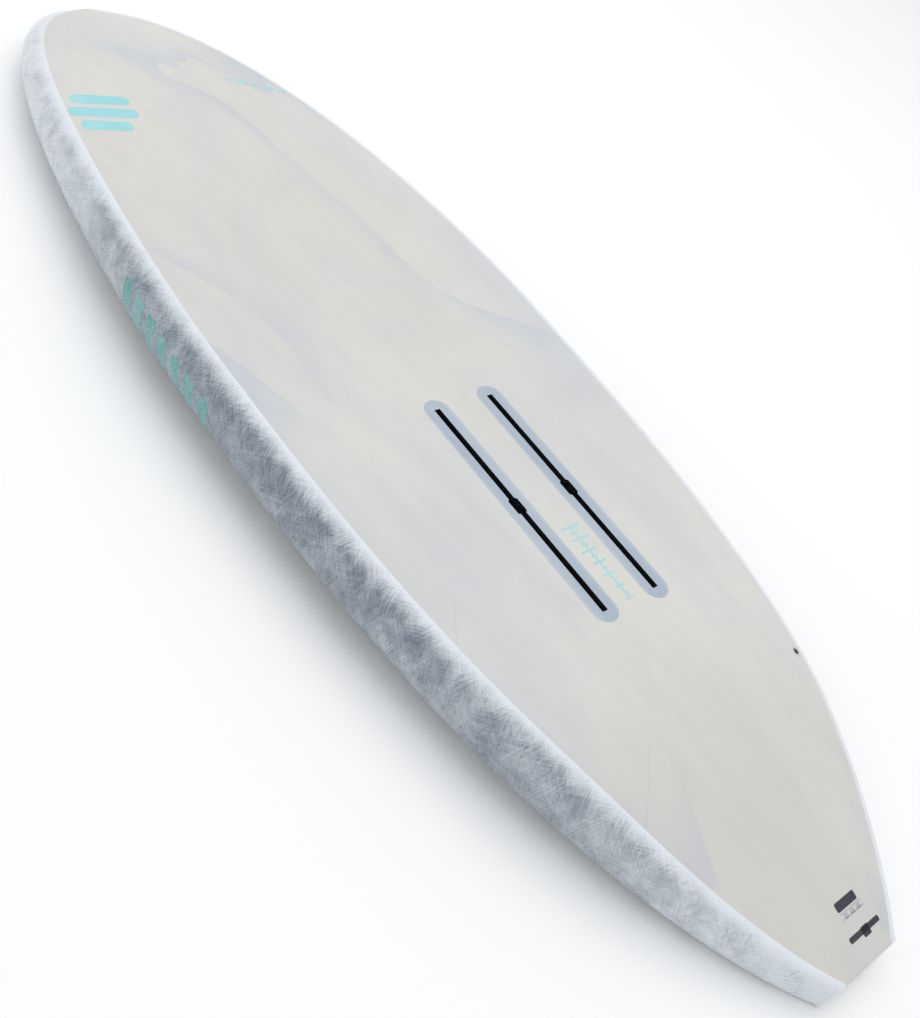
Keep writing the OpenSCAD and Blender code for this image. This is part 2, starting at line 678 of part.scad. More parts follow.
module vent_barrel_room() {
    translate([0, 0, -vent_depth - bond]) cylinder(r = vent_barrel_r + bond, h = vent_depth + 8);
}
module vent_flange_room() {
    translate([0, 0, -vent_flange_t - bond]) cylinder(r = vent_flange_r + bond, h = 8);
}
module vent_housing() {
    color("#b8bcc0") at_vent() difference() {
        union() {
            translate([0, 0, -vent_flange_t]) cylinder(r = vent_flange_r, h = vent_flange_t);
            translate([0, 0, -vent_depth]) cylinder(r = vent_barrel_r, h = vent_depth);
        }
        translate([0, 0, seat_z]) cylinder(r = vent_head_r + head_play, h = -seat_z + eps);
        translate([0, 0, -vent_depth + membrane_seat - eps])
            cylinder(r = vent_shank_r + 0.1, h = vent_depth);
        translate([0, 0, -vent_depth - eps])
            cylinder(r = vent_barrel_r - 1.5, h = membrane_seat + eps);
    }
}
module vent_o_ring() {
    color("#202226") at_vent() translate([0, 0, seat_z + ring_t / 2])
        rotate_extrude() translate([vent_head_r - ring_t / 2, 0]) circle(d = ring_t);
}
module vent_screw() {
    color("#33363b") at_vent() difference() {
        union() {
            translate([0, 0, seat_z + ring_t]) cylinder(r = vent_head_r, h = vent_head_h);
            translate([0, 0, seat_z + ring_t - vent_shank_len])
                cylinder(r = vent_shank_r, h = vent_shank_len);
        }
        translate([0, 0, seat_z + ring_t + vent_head_h / 3])
            cylinder(r = vent_head_r * 0.45, h = vent_head_h, $fn = 6);
    }
}
module vent_membrane() {
    color("#ffffff") at_vent() translate([0, 0, -vent_depth + membrane_seat - membrane_t])
        cylinder(r = vent_barrel_r - 1.5, h = membrane_t);
}

// ---- leash cup, on the deck at the tail ----

cup_x = tail_x + cup_from_tail;
cup_z = deck_mid(tail_x);
module leash_cup() {
    color("#24272b") translate([cup_x, 0, cup_z]) difference() {
        cylinder(r = cup_r, h = cup_depth);
        translate([0, 0, -eps]) cylinder(r = cup_r - cup_wall, h = cup_depth - cup_wall + eps);
        leash_pin_room(0);
    }
}
module leash_pin_room(play) {
    translate([0, 0, pin_depth]) rotate([90, 0, 0])
        cylinder(r = pin_r + play, h = 2 * cup_r - cup_wall, center = true);
}
module leash_pin() { color("#c3c6c9") translate([cup_x, 0, cup_z]) leash_pin_room(0); }

core_centre();
core_left();
core_right();
stringer_left();
stringer_right();
bottom_skin();
deck_skin();
rail_left();
rail_right();
nose_block();
tail_block();
track_block_left();
track_block_right();
track_patch_left();
track_patch_right();
track_box_left();
track_box_right();
foil_nut_fore_left();
foil_nut_fore_right();
foil_nut_aft_left();
foil_nut_aft_right();
mast_block();
mast_box();
mast_nut();
strap_inserts();
deck_pad_front();
deck_pad_rear();
vent_housing();
vent_o_ring();
vent_screw();
vent_membrane();
leash_cup();
leash_pin();
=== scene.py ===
import json
import math
import bpy
import numpy as np
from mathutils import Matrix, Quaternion, Vector, geometry


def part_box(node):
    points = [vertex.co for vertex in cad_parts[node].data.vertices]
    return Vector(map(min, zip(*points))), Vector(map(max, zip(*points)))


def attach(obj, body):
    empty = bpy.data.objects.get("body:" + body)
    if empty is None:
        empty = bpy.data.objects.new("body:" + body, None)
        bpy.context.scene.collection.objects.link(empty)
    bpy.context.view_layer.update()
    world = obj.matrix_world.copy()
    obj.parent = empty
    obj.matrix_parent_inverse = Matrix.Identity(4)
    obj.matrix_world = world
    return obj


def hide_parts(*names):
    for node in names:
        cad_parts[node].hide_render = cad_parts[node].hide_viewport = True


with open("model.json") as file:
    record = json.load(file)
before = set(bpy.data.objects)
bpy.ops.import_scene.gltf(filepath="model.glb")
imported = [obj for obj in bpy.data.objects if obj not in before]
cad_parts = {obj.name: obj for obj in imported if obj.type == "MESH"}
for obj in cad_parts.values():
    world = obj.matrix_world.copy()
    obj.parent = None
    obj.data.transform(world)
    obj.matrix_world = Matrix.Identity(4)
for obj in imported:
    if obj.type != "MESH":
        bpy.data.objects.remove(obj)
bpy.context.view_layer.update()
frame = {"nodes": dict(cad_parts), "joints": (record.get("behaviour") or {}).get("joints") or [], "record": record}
print("frame loaded:", len(frame["nodes"]), "nodes")

nodes = frame["nodes"]
up = Vector((0, 0, 1))

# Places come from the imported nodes, in metres
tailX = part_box("tail_block")[0].x
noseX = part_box("nose_block")[1].x
patchLow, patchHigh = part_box("track_patch_left")
bottomTop = patchHigh.z
trackX = (patchLow.x + patchHigh.x) / 2
trackY = (patchLow.y + patchHigh.y) / 2
patchLength = patchHigh.x - patchLow.x
patchWidth = patchHigh.y - patchLow.y
padBoxes = {end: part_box("deck_pad_" + end) for end in ("front", "rear")}
deckFace = padBoxes["front"][1].z
mastLow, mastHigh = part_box("mast_box")
cupLow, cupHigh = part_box("leash_cup")
ventJoint = next(j for j in frame["joints"] if j["name"] == "vent_turn")
ventPlace = Vector(ventJoint["pos_m"])
ventAxis = Vector(ventJoint["axis"]).normalized()

# The laminate follows the same curves as the foam under it. Lengths are in metres, and what ends in Full,
# Blunt or Power shapes a curve
hull = {
    "noseBulge": 0.0165, "railBulge": 0.0205, "railTuck": 0.0185, "endTuck": 0.004,
    "chineHalf": 0.264, "tailHalf": 0.0555, "widestFromTail": 0.971,
    "noseFull": 1.55, "noseBlunt": 2.34, "tailFull": 2.8, "tailBlunt": 1.37,
    "chineDrop": 0.016, "noseRise": 0.059, "noseRisePower": 2.66, "chineSlope": 0.01,
    "keelRise": 0.070, "keelRisePower": 2.9,
    "kickFromTail": 0.266, "kickSlope": 0.203, "kickSoft": 0.076,
    "keelKickSlope": 0.232, "keelKickBend": 0.140,
    "flatHalf": 0.083, "flatFront": 0.250, "flatBack": 0.210, "flatTaper": 0.7, "flatMost": 0.6,
    "sidePower": 2.0, "sidePowerLoss": 0.8,
    "edgeDrop": 0.1095, "noseEdgeDrop": 0.121, "tailEdgeDrop": 0.128,
    "railStrip": 0.040, "deckRoll": 0.030, "deckFlatLeast": 0.45,
    "tailSink": 0.0035, "sinkStart": 0.201, "sinkEnd": 0.081,
    "railUpper": 0.25, "railLower": 0.92, "tuckShare": 0.14,
    "chineRound": 0.009, "railRound": 0.085, "tailRound": 0.005, "noseDeckRise": 0.08,
    "laminate": 0.0022,
}
tipX = noseX - hull["noseBulge"]
wideX = tailX + hull["widestFromTail"]
flatFrontX = trackX + hull["flatFront"]
flatBackX = trackX - hull["flatBack"]
probe = {"outline": 0.00025, "bottom": 0.0005, "rail": 0.001}  # how far apart a slope's two points lie
fanRounds = 12  # repeats until a fanned row settles
middleSwell = 0.75  # what 3k(1 - k) comes to at the middle of the rail


def noseRun(x):
    return np.clip((x - wideX) / (tipX - wideX), 0, 1)


def tailRun(x):
    return np.clip((wideX - x) / (wideX - tailX), 0, None)


def halfWidth(x):
    h = hull
    cut = (1 - (h["tailHalf"] / h["chineHalf"]) ** h["tailBlunt"]) ** (1 / h["tailFull"])
    ahead = np.clip(1 - noseRun(x) ** h["noseFull"], 0, 1) ** (1 / h["noseBlunt"])
    behind = np.clip(1 - (tailRun(x) * cut) ** h["tailFull"], 0, 1) ** (1 / h["tailBlunt"])
    return h["chineHalf"] * np.where(x > wideX, ahead, behind)


def outlineAngle(x):
    step = probe["outline"]
    return np.arctan((halfWidth(x - step) - halfWidth(x + step)) / (2 * step))


def chineZ(x):
    h = hull
    d = tailX + h["kickFromTail"] - x
    kick = h["kickSlope"] * (d + np.sqrt(d * d + h["kickSoft"] ** 2)) / 2
    return (bottomTop - h["chineDrop"] - h["noseRise"] * noseRun(x) ** h["noseRisePower"]
            - h["chineSlope"] * np.clip(wideX - x, 0, None) - kick)


def keelZ(x):
    h = hull
    ahead = np.clip((x - flatFrontX) / (tipX - flatFrontX), 0, None)
    front = h["keelRise"] * ahead ** h["keelRisePower"]
    d = np.clip(flatBackX - x, 0, None)
    bend = h["keelKickBend"]
    return bottomTop - front - h["keelKickSlope"] * np.where(d < bend, d * d / (2 * bend), d - bend / 2)


def bottomZ(x, y):
    h = hull
    ahead = np.clip((x - flatFrontX) / (tipX - flatFrontX), 0, 1)
    w = np.maximum(halfWidth(x), 1e-4)
    flat = np.minimum(h["flatHalf"] * (1 - ahead ** h["flatTaper"]), w * h["flatMost"])
    share = np.clip((np.abs(y) - flat) / (w - flat), 0, 1)
    power = h["sidePower"] - h["sidePowerLoss"] * noseRun(x)
    return keelZ(x) - (keelZ(x) - chineZ(x)) * share ** power


def bottomNormal(x, y):
    step = probe["bottom"]
    slopeX = (bottomZ(x + step, y) - bottomZ(x - step, y)) / (2 * step)
    slopeY = (bottomZ(x, y + step) - bottomZ(x, y - step)) / (2 * step)
    return Vector((-float(slopeX), -float(slopeY), 1)).normalized()


def edgeZ(x):
    h = hull
    return (bottomTop - h["edgeDrop"] - (h["noseEdgeDrop"] - h["edgeDrop"]) * noseRun(x) ** 2
            - (h["tailEdgeDrop"] - h["edgeDrop"]) * tailRun(x) ** 2)


def deckMid(x):
    t = np.clip((tailX + hull["sinkStart"] - x) / (hull["sinkStart"] - hull["sinkEnd"]), 0, 1)
    return deckFace - hull["tailSink"] * t * t * (3 - 2 * t)


def deckFlat(x):
    w = halfWidth(x)
    return np.maximum(w * hull["deckFlatLeast"], w - hull["railStrip"] - hull["deckRoll"])


def railOut(x, k):
    h = hull
    swell = (h["railBulge"] + (h["noseBulge"] - h["railBulge"]) * noseRun(x) ** 3
             - h["railBulge"] * tailRun(x) ** 3)
    tuck = h["railTuck"] + (h["endTuck"] - h["railTuck"]) * np.maximum(noseRun(x), tailRun(x)) ** 3
    handle = (swell + h["tuckShare"] * tuck) / middleSwell
    return 3 * k * (1 - k) * handle - k ** 3 * tuck


def outlineShift(x, outAt):
    # A row is a flat section behind the widest place; ahead of it, it fans out square to the outline
    c = np.array(x, float)
    for _ in range(fanRounds):
        c = np.where(x < wideX, x - outAt(c) * np.sin(outlineAngle(c)), x)
    a = outlineAngle(c)
    return c + outAt(c) * np.sin(a), halfWidth(c) + outAt(c) * np.cos(a), c


def railPoint(x, k):
    # Share k runs from the chine to the deck edge
    px, py, c = outlineShift(x, lambda q: railOut(q, k))
    down = 3 * k * (1 - k) ** 2 * hull["railUpper"] + 3 * k * k * (1 - k) * hull["railLower"] + k ** 3
    return np.stack([px, py, chineZ(c) - (chineZ(c) - edgeZ(c)) * down], -1)


# One grid covers half the hull: rows from tail to nose, columns from the keel round to mid deck
gridSize = {"tailRows": 7, "sternRows": 46, "trackRows": 48, "bowRows": 120, "bowPower": 1.9,
            "innerColumns": 8, "outerColumns": 22, "chineColumns": 8, "railColumns": 26, "deckColumns": 22,
            "patchMargin": 0.006, "holeMargin": 0.002, "innerMost": 0.6, "deckFlatMost": 0.72,
            "edgeSlopeMost": 0.3}
cutX = patchLength / 2 + gridSize["patchMargin"]
cutY = trackY + patchWidth / 2 + gridSize["patchMargin"]


def rowPlaces():
    g = gridSize
    stern = np.linspace(tailX + hull["tailRound"], trackX - cutX, g["sternRows"], endpoint=False)
    track = np.linspace(trackX - cutX, trackX + cutX, g["trackRows"], endpoint=False)
    share = np.linspace(0, 1, g["bowRows"] + 1)
    bow = trackX + cutX + (tipX - trackX - cutX) * (1 - (1 - share) ** g["bowPower"])
    return np.concatenate([stern, track, bow])


def halfHull(x):
    g = gridSize
    bx, by, _ = outlineShift(x, lambda q: np.full_like(q, -hull["chineRound"]))
    inner = np.minimum(cutY, by * g["innerMost"])
    lines = [inner * i / g["innerColumns"] for i in range(g["innerColumns"])]
    lines += [inner + (by - inner) * i / g["outerColumns"] for i in range(g["outerColumns"] + 1)]
    columns = [np.stack([bx, y, bottomZ(bx, y)], -1) for y in lines]
    bottomEnd = len(columns) - 1
    start, corner, first = columns[-1], railPoint(x, 0.0), railPoint(x, hull["railRound"])
    for i in range(1, g["chineColumns"] + 1):
        t = i / g["chineColumns"]
        columns.append((1 - t) ** 2 * start + 2 * t * (1 - t) * corner + t * t * first)
    for i in range(1, g["railColumns"] + 1):
        columns.append(railPoint(x, hull["railRound"] + (1 - hull["railRound"]) * i / g["railColumns"]))
    railEnd = len(columns) - 1
    edge = columns[-1]
    run = edge - columns[-2]
    ex, ey, ez = edge[:, 0], edge[:, 1], edge[:, 2]
    rise = np.clip(ey / hull["noseDeckRise"], 0, 1)
    mid = ez + (deckMid(ex) - ez) * rise * rise * (3 - 2 * rise)
    flat = np.minimum(deckFlat(np.minimum(ex, tipX)), ey * g["deckFlatMost"])
    width = np.maximum(ey - flat, 1e-6)
    slope = np.clip(-run[:, 2] / np.maximum(-run[:, 1], 1e-5), 0, g["edgeSlopeMost"])
    for i in range(1, g["deckColumns"] + 1):
        y = ey * (1 - i / g["deckColumns"])
        s = np.clip((y - flat) / width, 0, 1)
        z = mid + (ez - mid) * (3 * s * s - 2 * s ** 3) + slope * width * (s ** 3 - s * s)
        columns.append(np.stack([ex, y, z], -1))
    return np.stack(columns, 1), bottomEnd, railEnd


def unit(v):
    return v / np.maximum(np.linalg.norm(v, axis=-1, keepdims=True), 1e-12)


def hullGrid():
    points, bottomEnd, railEnd = halfHull(rowPlaces())
    points[-1, :, 1] = 0
    normals = unit(np.cross(np.gradient(points, axis=0), np.gradient(points, axis=1)))
    normals[-1] = normals[-2]
    for middle in (normals[:, 0], normals[:, -1], normals[-1]):
        middle[:, 1] = 0
    normals = unit(normals)
    # The tail end curls in to the transom
    section = unit(normals[0] * np.array([0, 1, 1]))
    rows, rowNormals = [], []
    for i in range(gridSize["tailRows"], 0, -1):
        a = math.pi / 2 * i / gridSize["tailRows"]
        row = points[0] - section * hull["tailRound"] * (1 - math.cos(a))
        row[:, 0] = tailX + hull["tailRound"] * (1 - math.sin(a))
        rows.append(row)
        rowNormals.append(section * math.cos(a) + np.array([-math.sin(a), 0, 0]))
    return (np.concatenate([np.array(rows), points]), np.concatenate([np.array(rowNormals), normals]),
            bottomEnd, railEnd)


weldDigits = 7  # points that agree to a tenth of a micron are one
loopSides = 48  # sides of a round opening


def addObject(name, mesh):
    obj = bpy.data.objects.new(name, mesh)
    bpy.context.scene.collection.objects.link(obj)
    return obj


def closedShell(name, points, normals, faces, thickness, railMap=None, backZ=None):
    # Outer faces, the same faces one thickness inside or down to a flat back, and a rim round each edge
    seen, place = {}, []
    outer, outerNormals, outerMap = [], [], []
    for i, p in enumerate(points):
        key = tuple(np.round(p, weldDigits))
        if key not in seen:
            seen[key] = len(outer)
            outer.append(p)
            outerNormals.append(np.zeros(3))
            outerMap.append(railMap[i] if railMap is not None else None)
        place.append(seen[key])
        outerNormals[seen[key]] = outerNormals[seen[key]] + normals[i]
    outer, outerNormals = np.array(outer), unit(np.array(outerNormals))
    kept = []
    for f in faces:
        ring = list(dict.fromkeys(place[i] for i in f))
        if len(ring) > 2:
            kept.append(ring)
    edges = {(a, b) for f in kept for a, b in zip(f, f[1:] + f[:1])}
    n = len(outer)
    rim = [[b, a, a + n, b + n] for a, b in sorted(edges) if (b, a) not in edges]
    mesh = bpy.data.meshes.new(name)
    inner = outer - outerNormals * thickness
    if backZ is not None:
        inner = np.column_stack([outer[:, :2], np.full(n, backZ)])
    both = np.concatenate([outer, inner])
    mesh.from_pydata([tuple(p) for p in both], [], kept + [[i + n for i in f[::-1]] for f in kept] + rim)
    mesh.polygons.foreach_set("use_smooth", [True] * len(mesh.polygons))
    corners = []
    for poly in mesh.polygons:
        for v in poly.vertices:
            if poly.index < len(kept):
                corners.append(tuple(outerNormals[v]))
            elif poly.index < 2 * len(kept):
                corners.append(tuple(-outerNormals[v - n]))
            else:
                corners.append(tuple(poly.normal))
    if railMap is not None:
        layer = mesh.uv_layers.new(name="railMap")
        places = [c for loop in mesh.loops for c in outerMap[loop.vertex_index % n]]
        layer.data.foreach_set("uv", places)
    mesh.normals_split_custom_set(corners)
    return addObject(name, mesh)


def gridFaces(rows, columns, left=()):
    return [[i * columns + j, (i + 1) * columns + j, (i + 1) * columns + j + 1, i * columns + j + 1]
            for i in range(rows - 1) for j in range(columns - 1) if (i, j) not in left]


def stadiumLoop(x, y, length, width, arc=20):
    r = width / 2
    ends = [(length / 2 - r, -math.pi / 2), (r - length / 2, math.pi / 2)]
    return [(x + shift + r * math.cos(a + math.pi * i / arc), y + r * math.sin(a + math.pi * i / arc))
            for shift, a in ends for i in range(arc + 1)]


def circleLoop(x, y, radius):
    turns = [2 * math.pi * i / loopSides for i in range(loopSides)]
    return [(x + radius * math.cos(a), y + radius * math.sin(a)) for a in turns]


def boxLoop(low, high):
    return [(low[0], low[1]), (high[0], low[1]), (high[0], high[1]), (low[0], high[1])]


def ventLoop():
    # The flange is round along its own axis, so it is slightly oval from above
    side = ventAxis.cross(up).normalized()
    other = ventAxis.cross(side)
    turns = [2 * math.pi * i / loopSides for i in range(loopSides)]
    radius = openingSize["ventFlange"]
    ring = [ventPlace + (side * math.cos(a) + other * math.sin(a)) * radius for a in turns]
    return [(p.x, p.y) for p in ring]


def inLoop(point, loop):
    # Counts how many sides lie to the right of the point
    crossed = 0
    for (x0, y0), (x1, y1) in zip(loop, loop[1:] + loop[:1]):
        if (y0 > point[1]) != (y1 > point[1]):
            crossed += point[0] < x0 + (x1 - x0) * (point[1] - y0) / (y1 - y0)
    return crossed % 2 == 1


def blockRound(band, holes, facing):
    # The smallest block of grid cells round a group of holes: its first and last row and column
    columns = band.shape[1]
    spots = np.array([p for hole in holes for p in hole])
    low, high = spots.min(0) - gridSize["holeMargin"], spots.max(0) + gridSize["holeMargin"]
    xs = band[:, columns // 2, 0]
    r0, r1 = int(np.searchsorted(xs, low[0])) - 1, int(np.searchsorted(xs, high[0]))
    ys = band[r0:r1 + 1, :, 1] * facing
    lowY, highY = sorted((low[1] * facing, high[1] * facing))
    c0 = max([c for c in range(columns) if ys[:, c].max() <= lowY], default=0)
    c1 = min([c for c in range(columns) if ys[:, c].min() >= highY], default=columns - 1)
    return r0, r1, c0, c1


def skinWithHoles(name, band, bandNormals, groups, surfaceAt, facing, backZ=None):
    # The grid's cells stay, except for the block round each group of holes, which is filled anew
    rows, columns = band.shape[:2]
    points = [tuple(p) for p in band.reshape(-1, 3)]
    normals = [tuple(n) for n in bandNormals.reshape(-1, 3)]
    faces, left = [], set()
    keepInside = 1  # the way of filling that drops what lies outside the outer ring
    mergeGap = 1e-7
    for holes in groups:
        r0, r1, c0, c1 = blockRound(band, holes, facing)
        ring = [(r0, c) for c in range(c0, c1)] + [(r, c1) for r in range(r0, r1)]
        ring += [(r1, c) for c in range(c1, c0, -1)] + [(r, c0) for r in range(r1, r0, -1)]
        ids = [r * columns + c for r, c in ring]
        flat = [Vector(points[i][:2]) for i in ids]
        edges = [(i, (i + 1) % len(ids)) for i in range(len(ids))]
        for hole in holes:
            first = len(ids)
            edges += [(first + i, first + (i + 1) % len(hole)) for i in range(len(hole))]
            for x, y in hole:
                ids.append(len(points))
                flat.append(Vector((x, y)))
                height, normal = surfaceAt(x, y)
                points.append((x, y, height))
                normals.append(tuple(normal))
        spots, _, cells, sources, _, _ = geometry.delaunay_2d_cdt(flat, edges, [], keepInside, mergeGap)
        for cell in cells:
            middle = sum((spots[i] for i in cell), Vector((0, 0))) / len(cell)
            if any(inLoop(middle, hole) for hole in holes):
                continue
            corners = [ids[sources[i][0]] for i in cell]
            faces.append(corners if facing > 0 else corners[::-1])
        left |= {(r, c) for r in range(r0, r1) for c in range(c0, c1)}
    faces = gridFaces(rows, columns, left) + faces
    return closedShell(name, np.array(points), np.array(normals), faces, hull["laminate"], backZ=backZ)


def bothHalves(points, normals, first, last, middleFirst):
    part, partNormals = points[:, first:last + 1], normals[:, first:last + 1]
    flip = np.array([1, -1, 1])
    if middleFirst:
        return (np.concatenate([part[:, :0:-1] * flip, part], 1),
                np.concatenate([partNormals[:, :0:-1] * flip, partNormals], 1))
    return (np.concatenate([part, part[:, -2::-1] * flip], 1),
            np.concatenate([partNormals, partNormals[:, -2::-1] * flip], 1))


def railSkin(name, points, normals, first, last, side):
    part, partNormals = points[:, first:last + 1].copy(), normals[:, first:last + 1].copy()
    steps = np.linalg.norm(np.diff(part[:, 0], axis=0), axis=1)
    along = np.concatenate([[0], np.cumsum(steps)])
    across = np.cumsum(np.linalg.norm(np.diff(part, axis=1), axis=2), axis=1)
    across = np.concatenate([np.zeros((len(part), 1)), across], 1)
    railMap = np.stack([np.repeat(along[:, None], part.shape[1], 1), across], -1).reshape(-1, 2)
    faces = gridFaces(*part.shape[:2])
    if side < 0:
        part[:, :, 1] *= -1
        partNormals[:, :, 1] *= -1
        faces = [f[::-1] for f in faces]
    points, normals = part.reshape(-1, 3), partNormals.reshape(-1, 3)
    return closedShell(name, points, normals, faces, hull["laminate"], railMap)


def transomPlate(points):
    # Strips run across from the left half of the end section to the right half
    loop = points[0]
    n = len(loop)
    ring = np.concatenate([loop, loop * np.array([1, -1, 1])])
    backward = np.tile([-1.0, 0, 0], (len(ring), 1))
    faces = [[i, i + 1, n + i + 1, n + i] for i in range(n - 1)]
    return closedShell("transomPlate", ring, backward, faces, hull["laminate"])


# Radii of the openings in the skins
openingSize = {"ventFlange": 0.00802, "insert": 0.009, "cup": (cupHigh.y - cupLow.y) / 2}
mmPerMetre = 1000
strapMounts = [m for m in frame["record"]["mounts"] if "strap" in m["name"]]
strapSpots = [(m["pos_m"][0] + s * m["dims"]["spacing_x_mm"] / (2 * mmPerMetre), m["pos_m"][1])
              for m in strapMounts for s in (1, -1)]

gridPoints, gridNormals, bottomEnd, railEnd = hullGrid()
bottomBand = bothHalves(gridPoints, gridNormals, 0, bottomEnd, True)
patchLoops = [stadiumLoop(trackX, s * trackY, patchLength, patchWidth) for s in (1, -1)]
bottomLaminate = skinWithHoles("bottomLaminate", *bottomBand, [patchLoops, [ventLoop()]],
                               lambda x, y: (float(bottomZ(x, y)), bottomNormal(x, y)), 1)
deckGroups = [[boxLoop(mastLow, mastHigh)]]
deckGroups += [[circleLoop((cupLow.x + cupHigh.x) / 2, 0, openingSize["cup"])]]
deckGroups += [[circleLoop(x, y, openingSize["insert"])] for x, y in strapSpots]
deckBand = bothHalves(gridPoints, gridNormals, railEnd, gridPoints.shape[1] - 1, False)
deckLaminate = skinWithHoles("deckLaminate", *deckBand, deckGroups,
                             lambda x, y: (float(deckMid(x)), (0, 0, -1)), -1)
railLeft = railSkin("railLaminateLeft", gridPoints, gridNormals, bottomEnd, railEnd, 1)
railRight = railSkin("railLaminateRight", gridPoints, gridNormals, bottomEnd, railEnd, -1)
transom = transomPlate(gridPoints)
print("hull pieces made")

padLook = {"grooveGap": 0.019, "grooveWidth": 0.0012, "grooveDepth": 0.0011, "inset": 0.008,
           "edgeRound": 0.0028, "edgeSteps": 4, "rows": 64, "hole": 0.011, "fill": 0.95,
           "grooveMargin": 0.010}


def evaPad(name, end):
    # Sheet foam with lengthwise grooves that follow the outline, and a rounded edge all round
    p = padLook
    low, high = padBoxes[end]
    half = deckFlat(np.linspace(low.x, high.x, 3)).max() - p["inset"]
    r = p["edgeRound"]
    turns = [math.pi / 2 * i / p["edgeSteps"] for i in range(p["edgeSteps"], -1, -1)]
    edge = [(r * math.sin(a), r * (1 - math.cos(a))) for a in turns]
    across = [(half - r + d, z) for d, z in edge]
    g, count = p["grooveWidth"], int((half - p["grooveMargin"]) / p["grooveGap"])
    for i in range(count, -count - 1, -1):
        y = i * p["grooveGap"]
        across += [(y + g, 0), (y + g / 3, p["grooveDepth"]), (y - g / 3, p["grooveDepth"]), (y - g, 0)]
    across += [(r - half - d, z) for d, z in edge[::-1]]
    along = [(low.x + r - d, z) for d, z in edge]
    along += [(x, 0) for x in np.linspace(low.x + r, high.x - r, p["rows"])[1:-1]]
    along += [(high.x - r + d, z) for d, z in edge[::-1]]
    band = np.zeros((len(along), len(across), 3))
    for i, (x, endZ) in enumerate(along):
        width = float(deckFlat(np.array(x))) - p["inset"]
        for j, (y, sideZ) in enumerate(across):
            band[i, j] = (x, y * width / half, low.z + max(endZ, sideZ))
    bandNormals = unit(np.cross(np.gradient(band, axis=0), np.gradient(band, axis=1)))
    holes = [[circleLoop(x, y, p["hole"])] for x, y in strapSpots if low.x < x < high.x]
    return skinWithHoles(name, band, bandNormals, holes, lambda x, y: (low.z, (0, 0, -1)), -1, high.z)


frontPad = evaPad("deckPadFront", "front")
rearPad = evaPad("deckPadRear", "rear")
print("deck pads made")


# Printed marks are thin closed shapes that stand a little proud of the skin
markLook = {"proud": 0.00015, "sunk": 0.0004, "rows": 14, "columns": 4, "cornerPower": 4}
bottomStripes = {
    "noseStripes": {"middle": (noseX - 0.3470, 0.1480), "angle": 71, "length": 0.096, "width": 0.0235,
                    "step": (0.0325, -0.0110), "shares": (0.72, 1.0, 0.86), "ends": 0.2},
    "chineDashes": {"middle": (noseX - 0.296, -0.140), "angle": 65.5, "length": 0.0160, "width": 0.0100,
                    "step": (0.0088, 0.0193), "shares": (0.7, 1.0, 0.9, 1.0, 0.7), "ends": 0.22},
    "tailBar": {"middle": (tailX + 0.0635, -0.0165), "angle": 90, "length": 0.038, "width": 0.0100,
                "step": (0.0, 0.0), "shares": (1.0,), "ends": 0.05},
    "tailRules": {"middle": (tailX + 0.0530, -0.0185), "angle": 90, "length": 0.040, "width": 0.0014,
                  "step": (0.0060, 0.0), "shares": (1.0, 1.0), "ends": 0.03},
    "tailDashes": {"middle": (tailX + 0.0520, -0.0185), "angle": 90, "length": 0.0070, "width": 0.0050,
                   "step": (0.0, 0.0120), "shares": (1.0, 1.0, 1.0), "ends": 0.1},
    "tailStrip": {"middle": (tailX + 0.0300, -0.0195), "angle": 90, "length": 0.058, "width": 0.0062,
                  "step": (0.0, 0.0), "shares": (1.0,), "ends": 0.03},
    "tailTab": {"middle": (tailX + 0.0285, -0.0210), "angle": 90, "length": 0.014, "width": 0.0110,
                "step": (0.0, 0.0), "shares": (1.0,), "ends": 0.1},
}
railBlocks = {"firstX": noseX - 0.650, "count": 7, "pitch": 0.0335, "length": 0.0215, "slant": 0.014,
              "high": 0.25, "low": 0.70, "fall": 0.014, "ends": 0.06}


def onBottom(x, y):
    normal = bottomNormal(x, y)
    return Vector((x, y, float(bottomZ(x, y)))) + normal * markLook["proud"], normal


def onRail(x, k):
    step = probe["rail"]
    place = Vector(railPoint(np.array(x), k))
    ahead = Vector(railPoint(np.array(x + step), k)) - place
    lower = Vector(railPoint(np.array(x), k + step)) - place
    normal = ahead.cross(lower).normalized()
    return place + normal * markLook["proud"], normal


def printedMark(name, quads, ends, place):
    # Each quad is two corners at its start and two at its end, in the skin's own coordinates
    points, normals, faces = [], [], []
    n, m = markLook["rows"], markLook["columns"]
    for quad in quads:
        a, b, c, d = (np.array(corner) for corner in quad)
        first = len(points)
        for i in range(n + 1):
            s = (1 - math.cos(math.pi * i / n)) / 2
            over = max(0, abs(s - 0.5) - 0.5 + ends) / ends
            for j in range(m + 1):
                t = 0.5 + (j / m - 0.5) * math.sqrt(max(0, 1 - over ** markLook["cornerPower"]))
                p, normal = place(*((a + (b - a) * t) * (1 - s) + (c + (d - c) * t) * s))
                points.append(tuple(p))
                normals.append(tuple(normal))
        grid = [[first + f for f in face] for face in gridFaces(n + 1, m + 1)]
        p, q, r = (Vector(points[grid[n * m // 2][i]]) for i in range(3))
        outward = (q - p).cross(r - q).dot(Vector(normals[grid[n * m // 2][0]])) > 0
        faces += grid if outward else [f[::-1] for f in grid]
    thickness = markLook["proud"] + markLook["sunk"]
    return closedShell(name, np.array(points), np.array(normals), faces, thickness)


def stripeQuads(look):
    along = np.array([math.cos(math.radians(look["angle"])), math.sin(math.radians(look["angle"]))])
    side = np.array([-along[1], along[0]]) * look["width"] / 2
    shares = look["shares"]
    for i, share in enumerate(shares):
        middle = np.array(look["middle"]) + np.array(look["step"]) * (i - (len(shares) - 1) / 2)
        reach = along * look["length"] * share / 2
        yield middle - reach - side, middle - reach + side, middle + reach - side, middle + reach + side


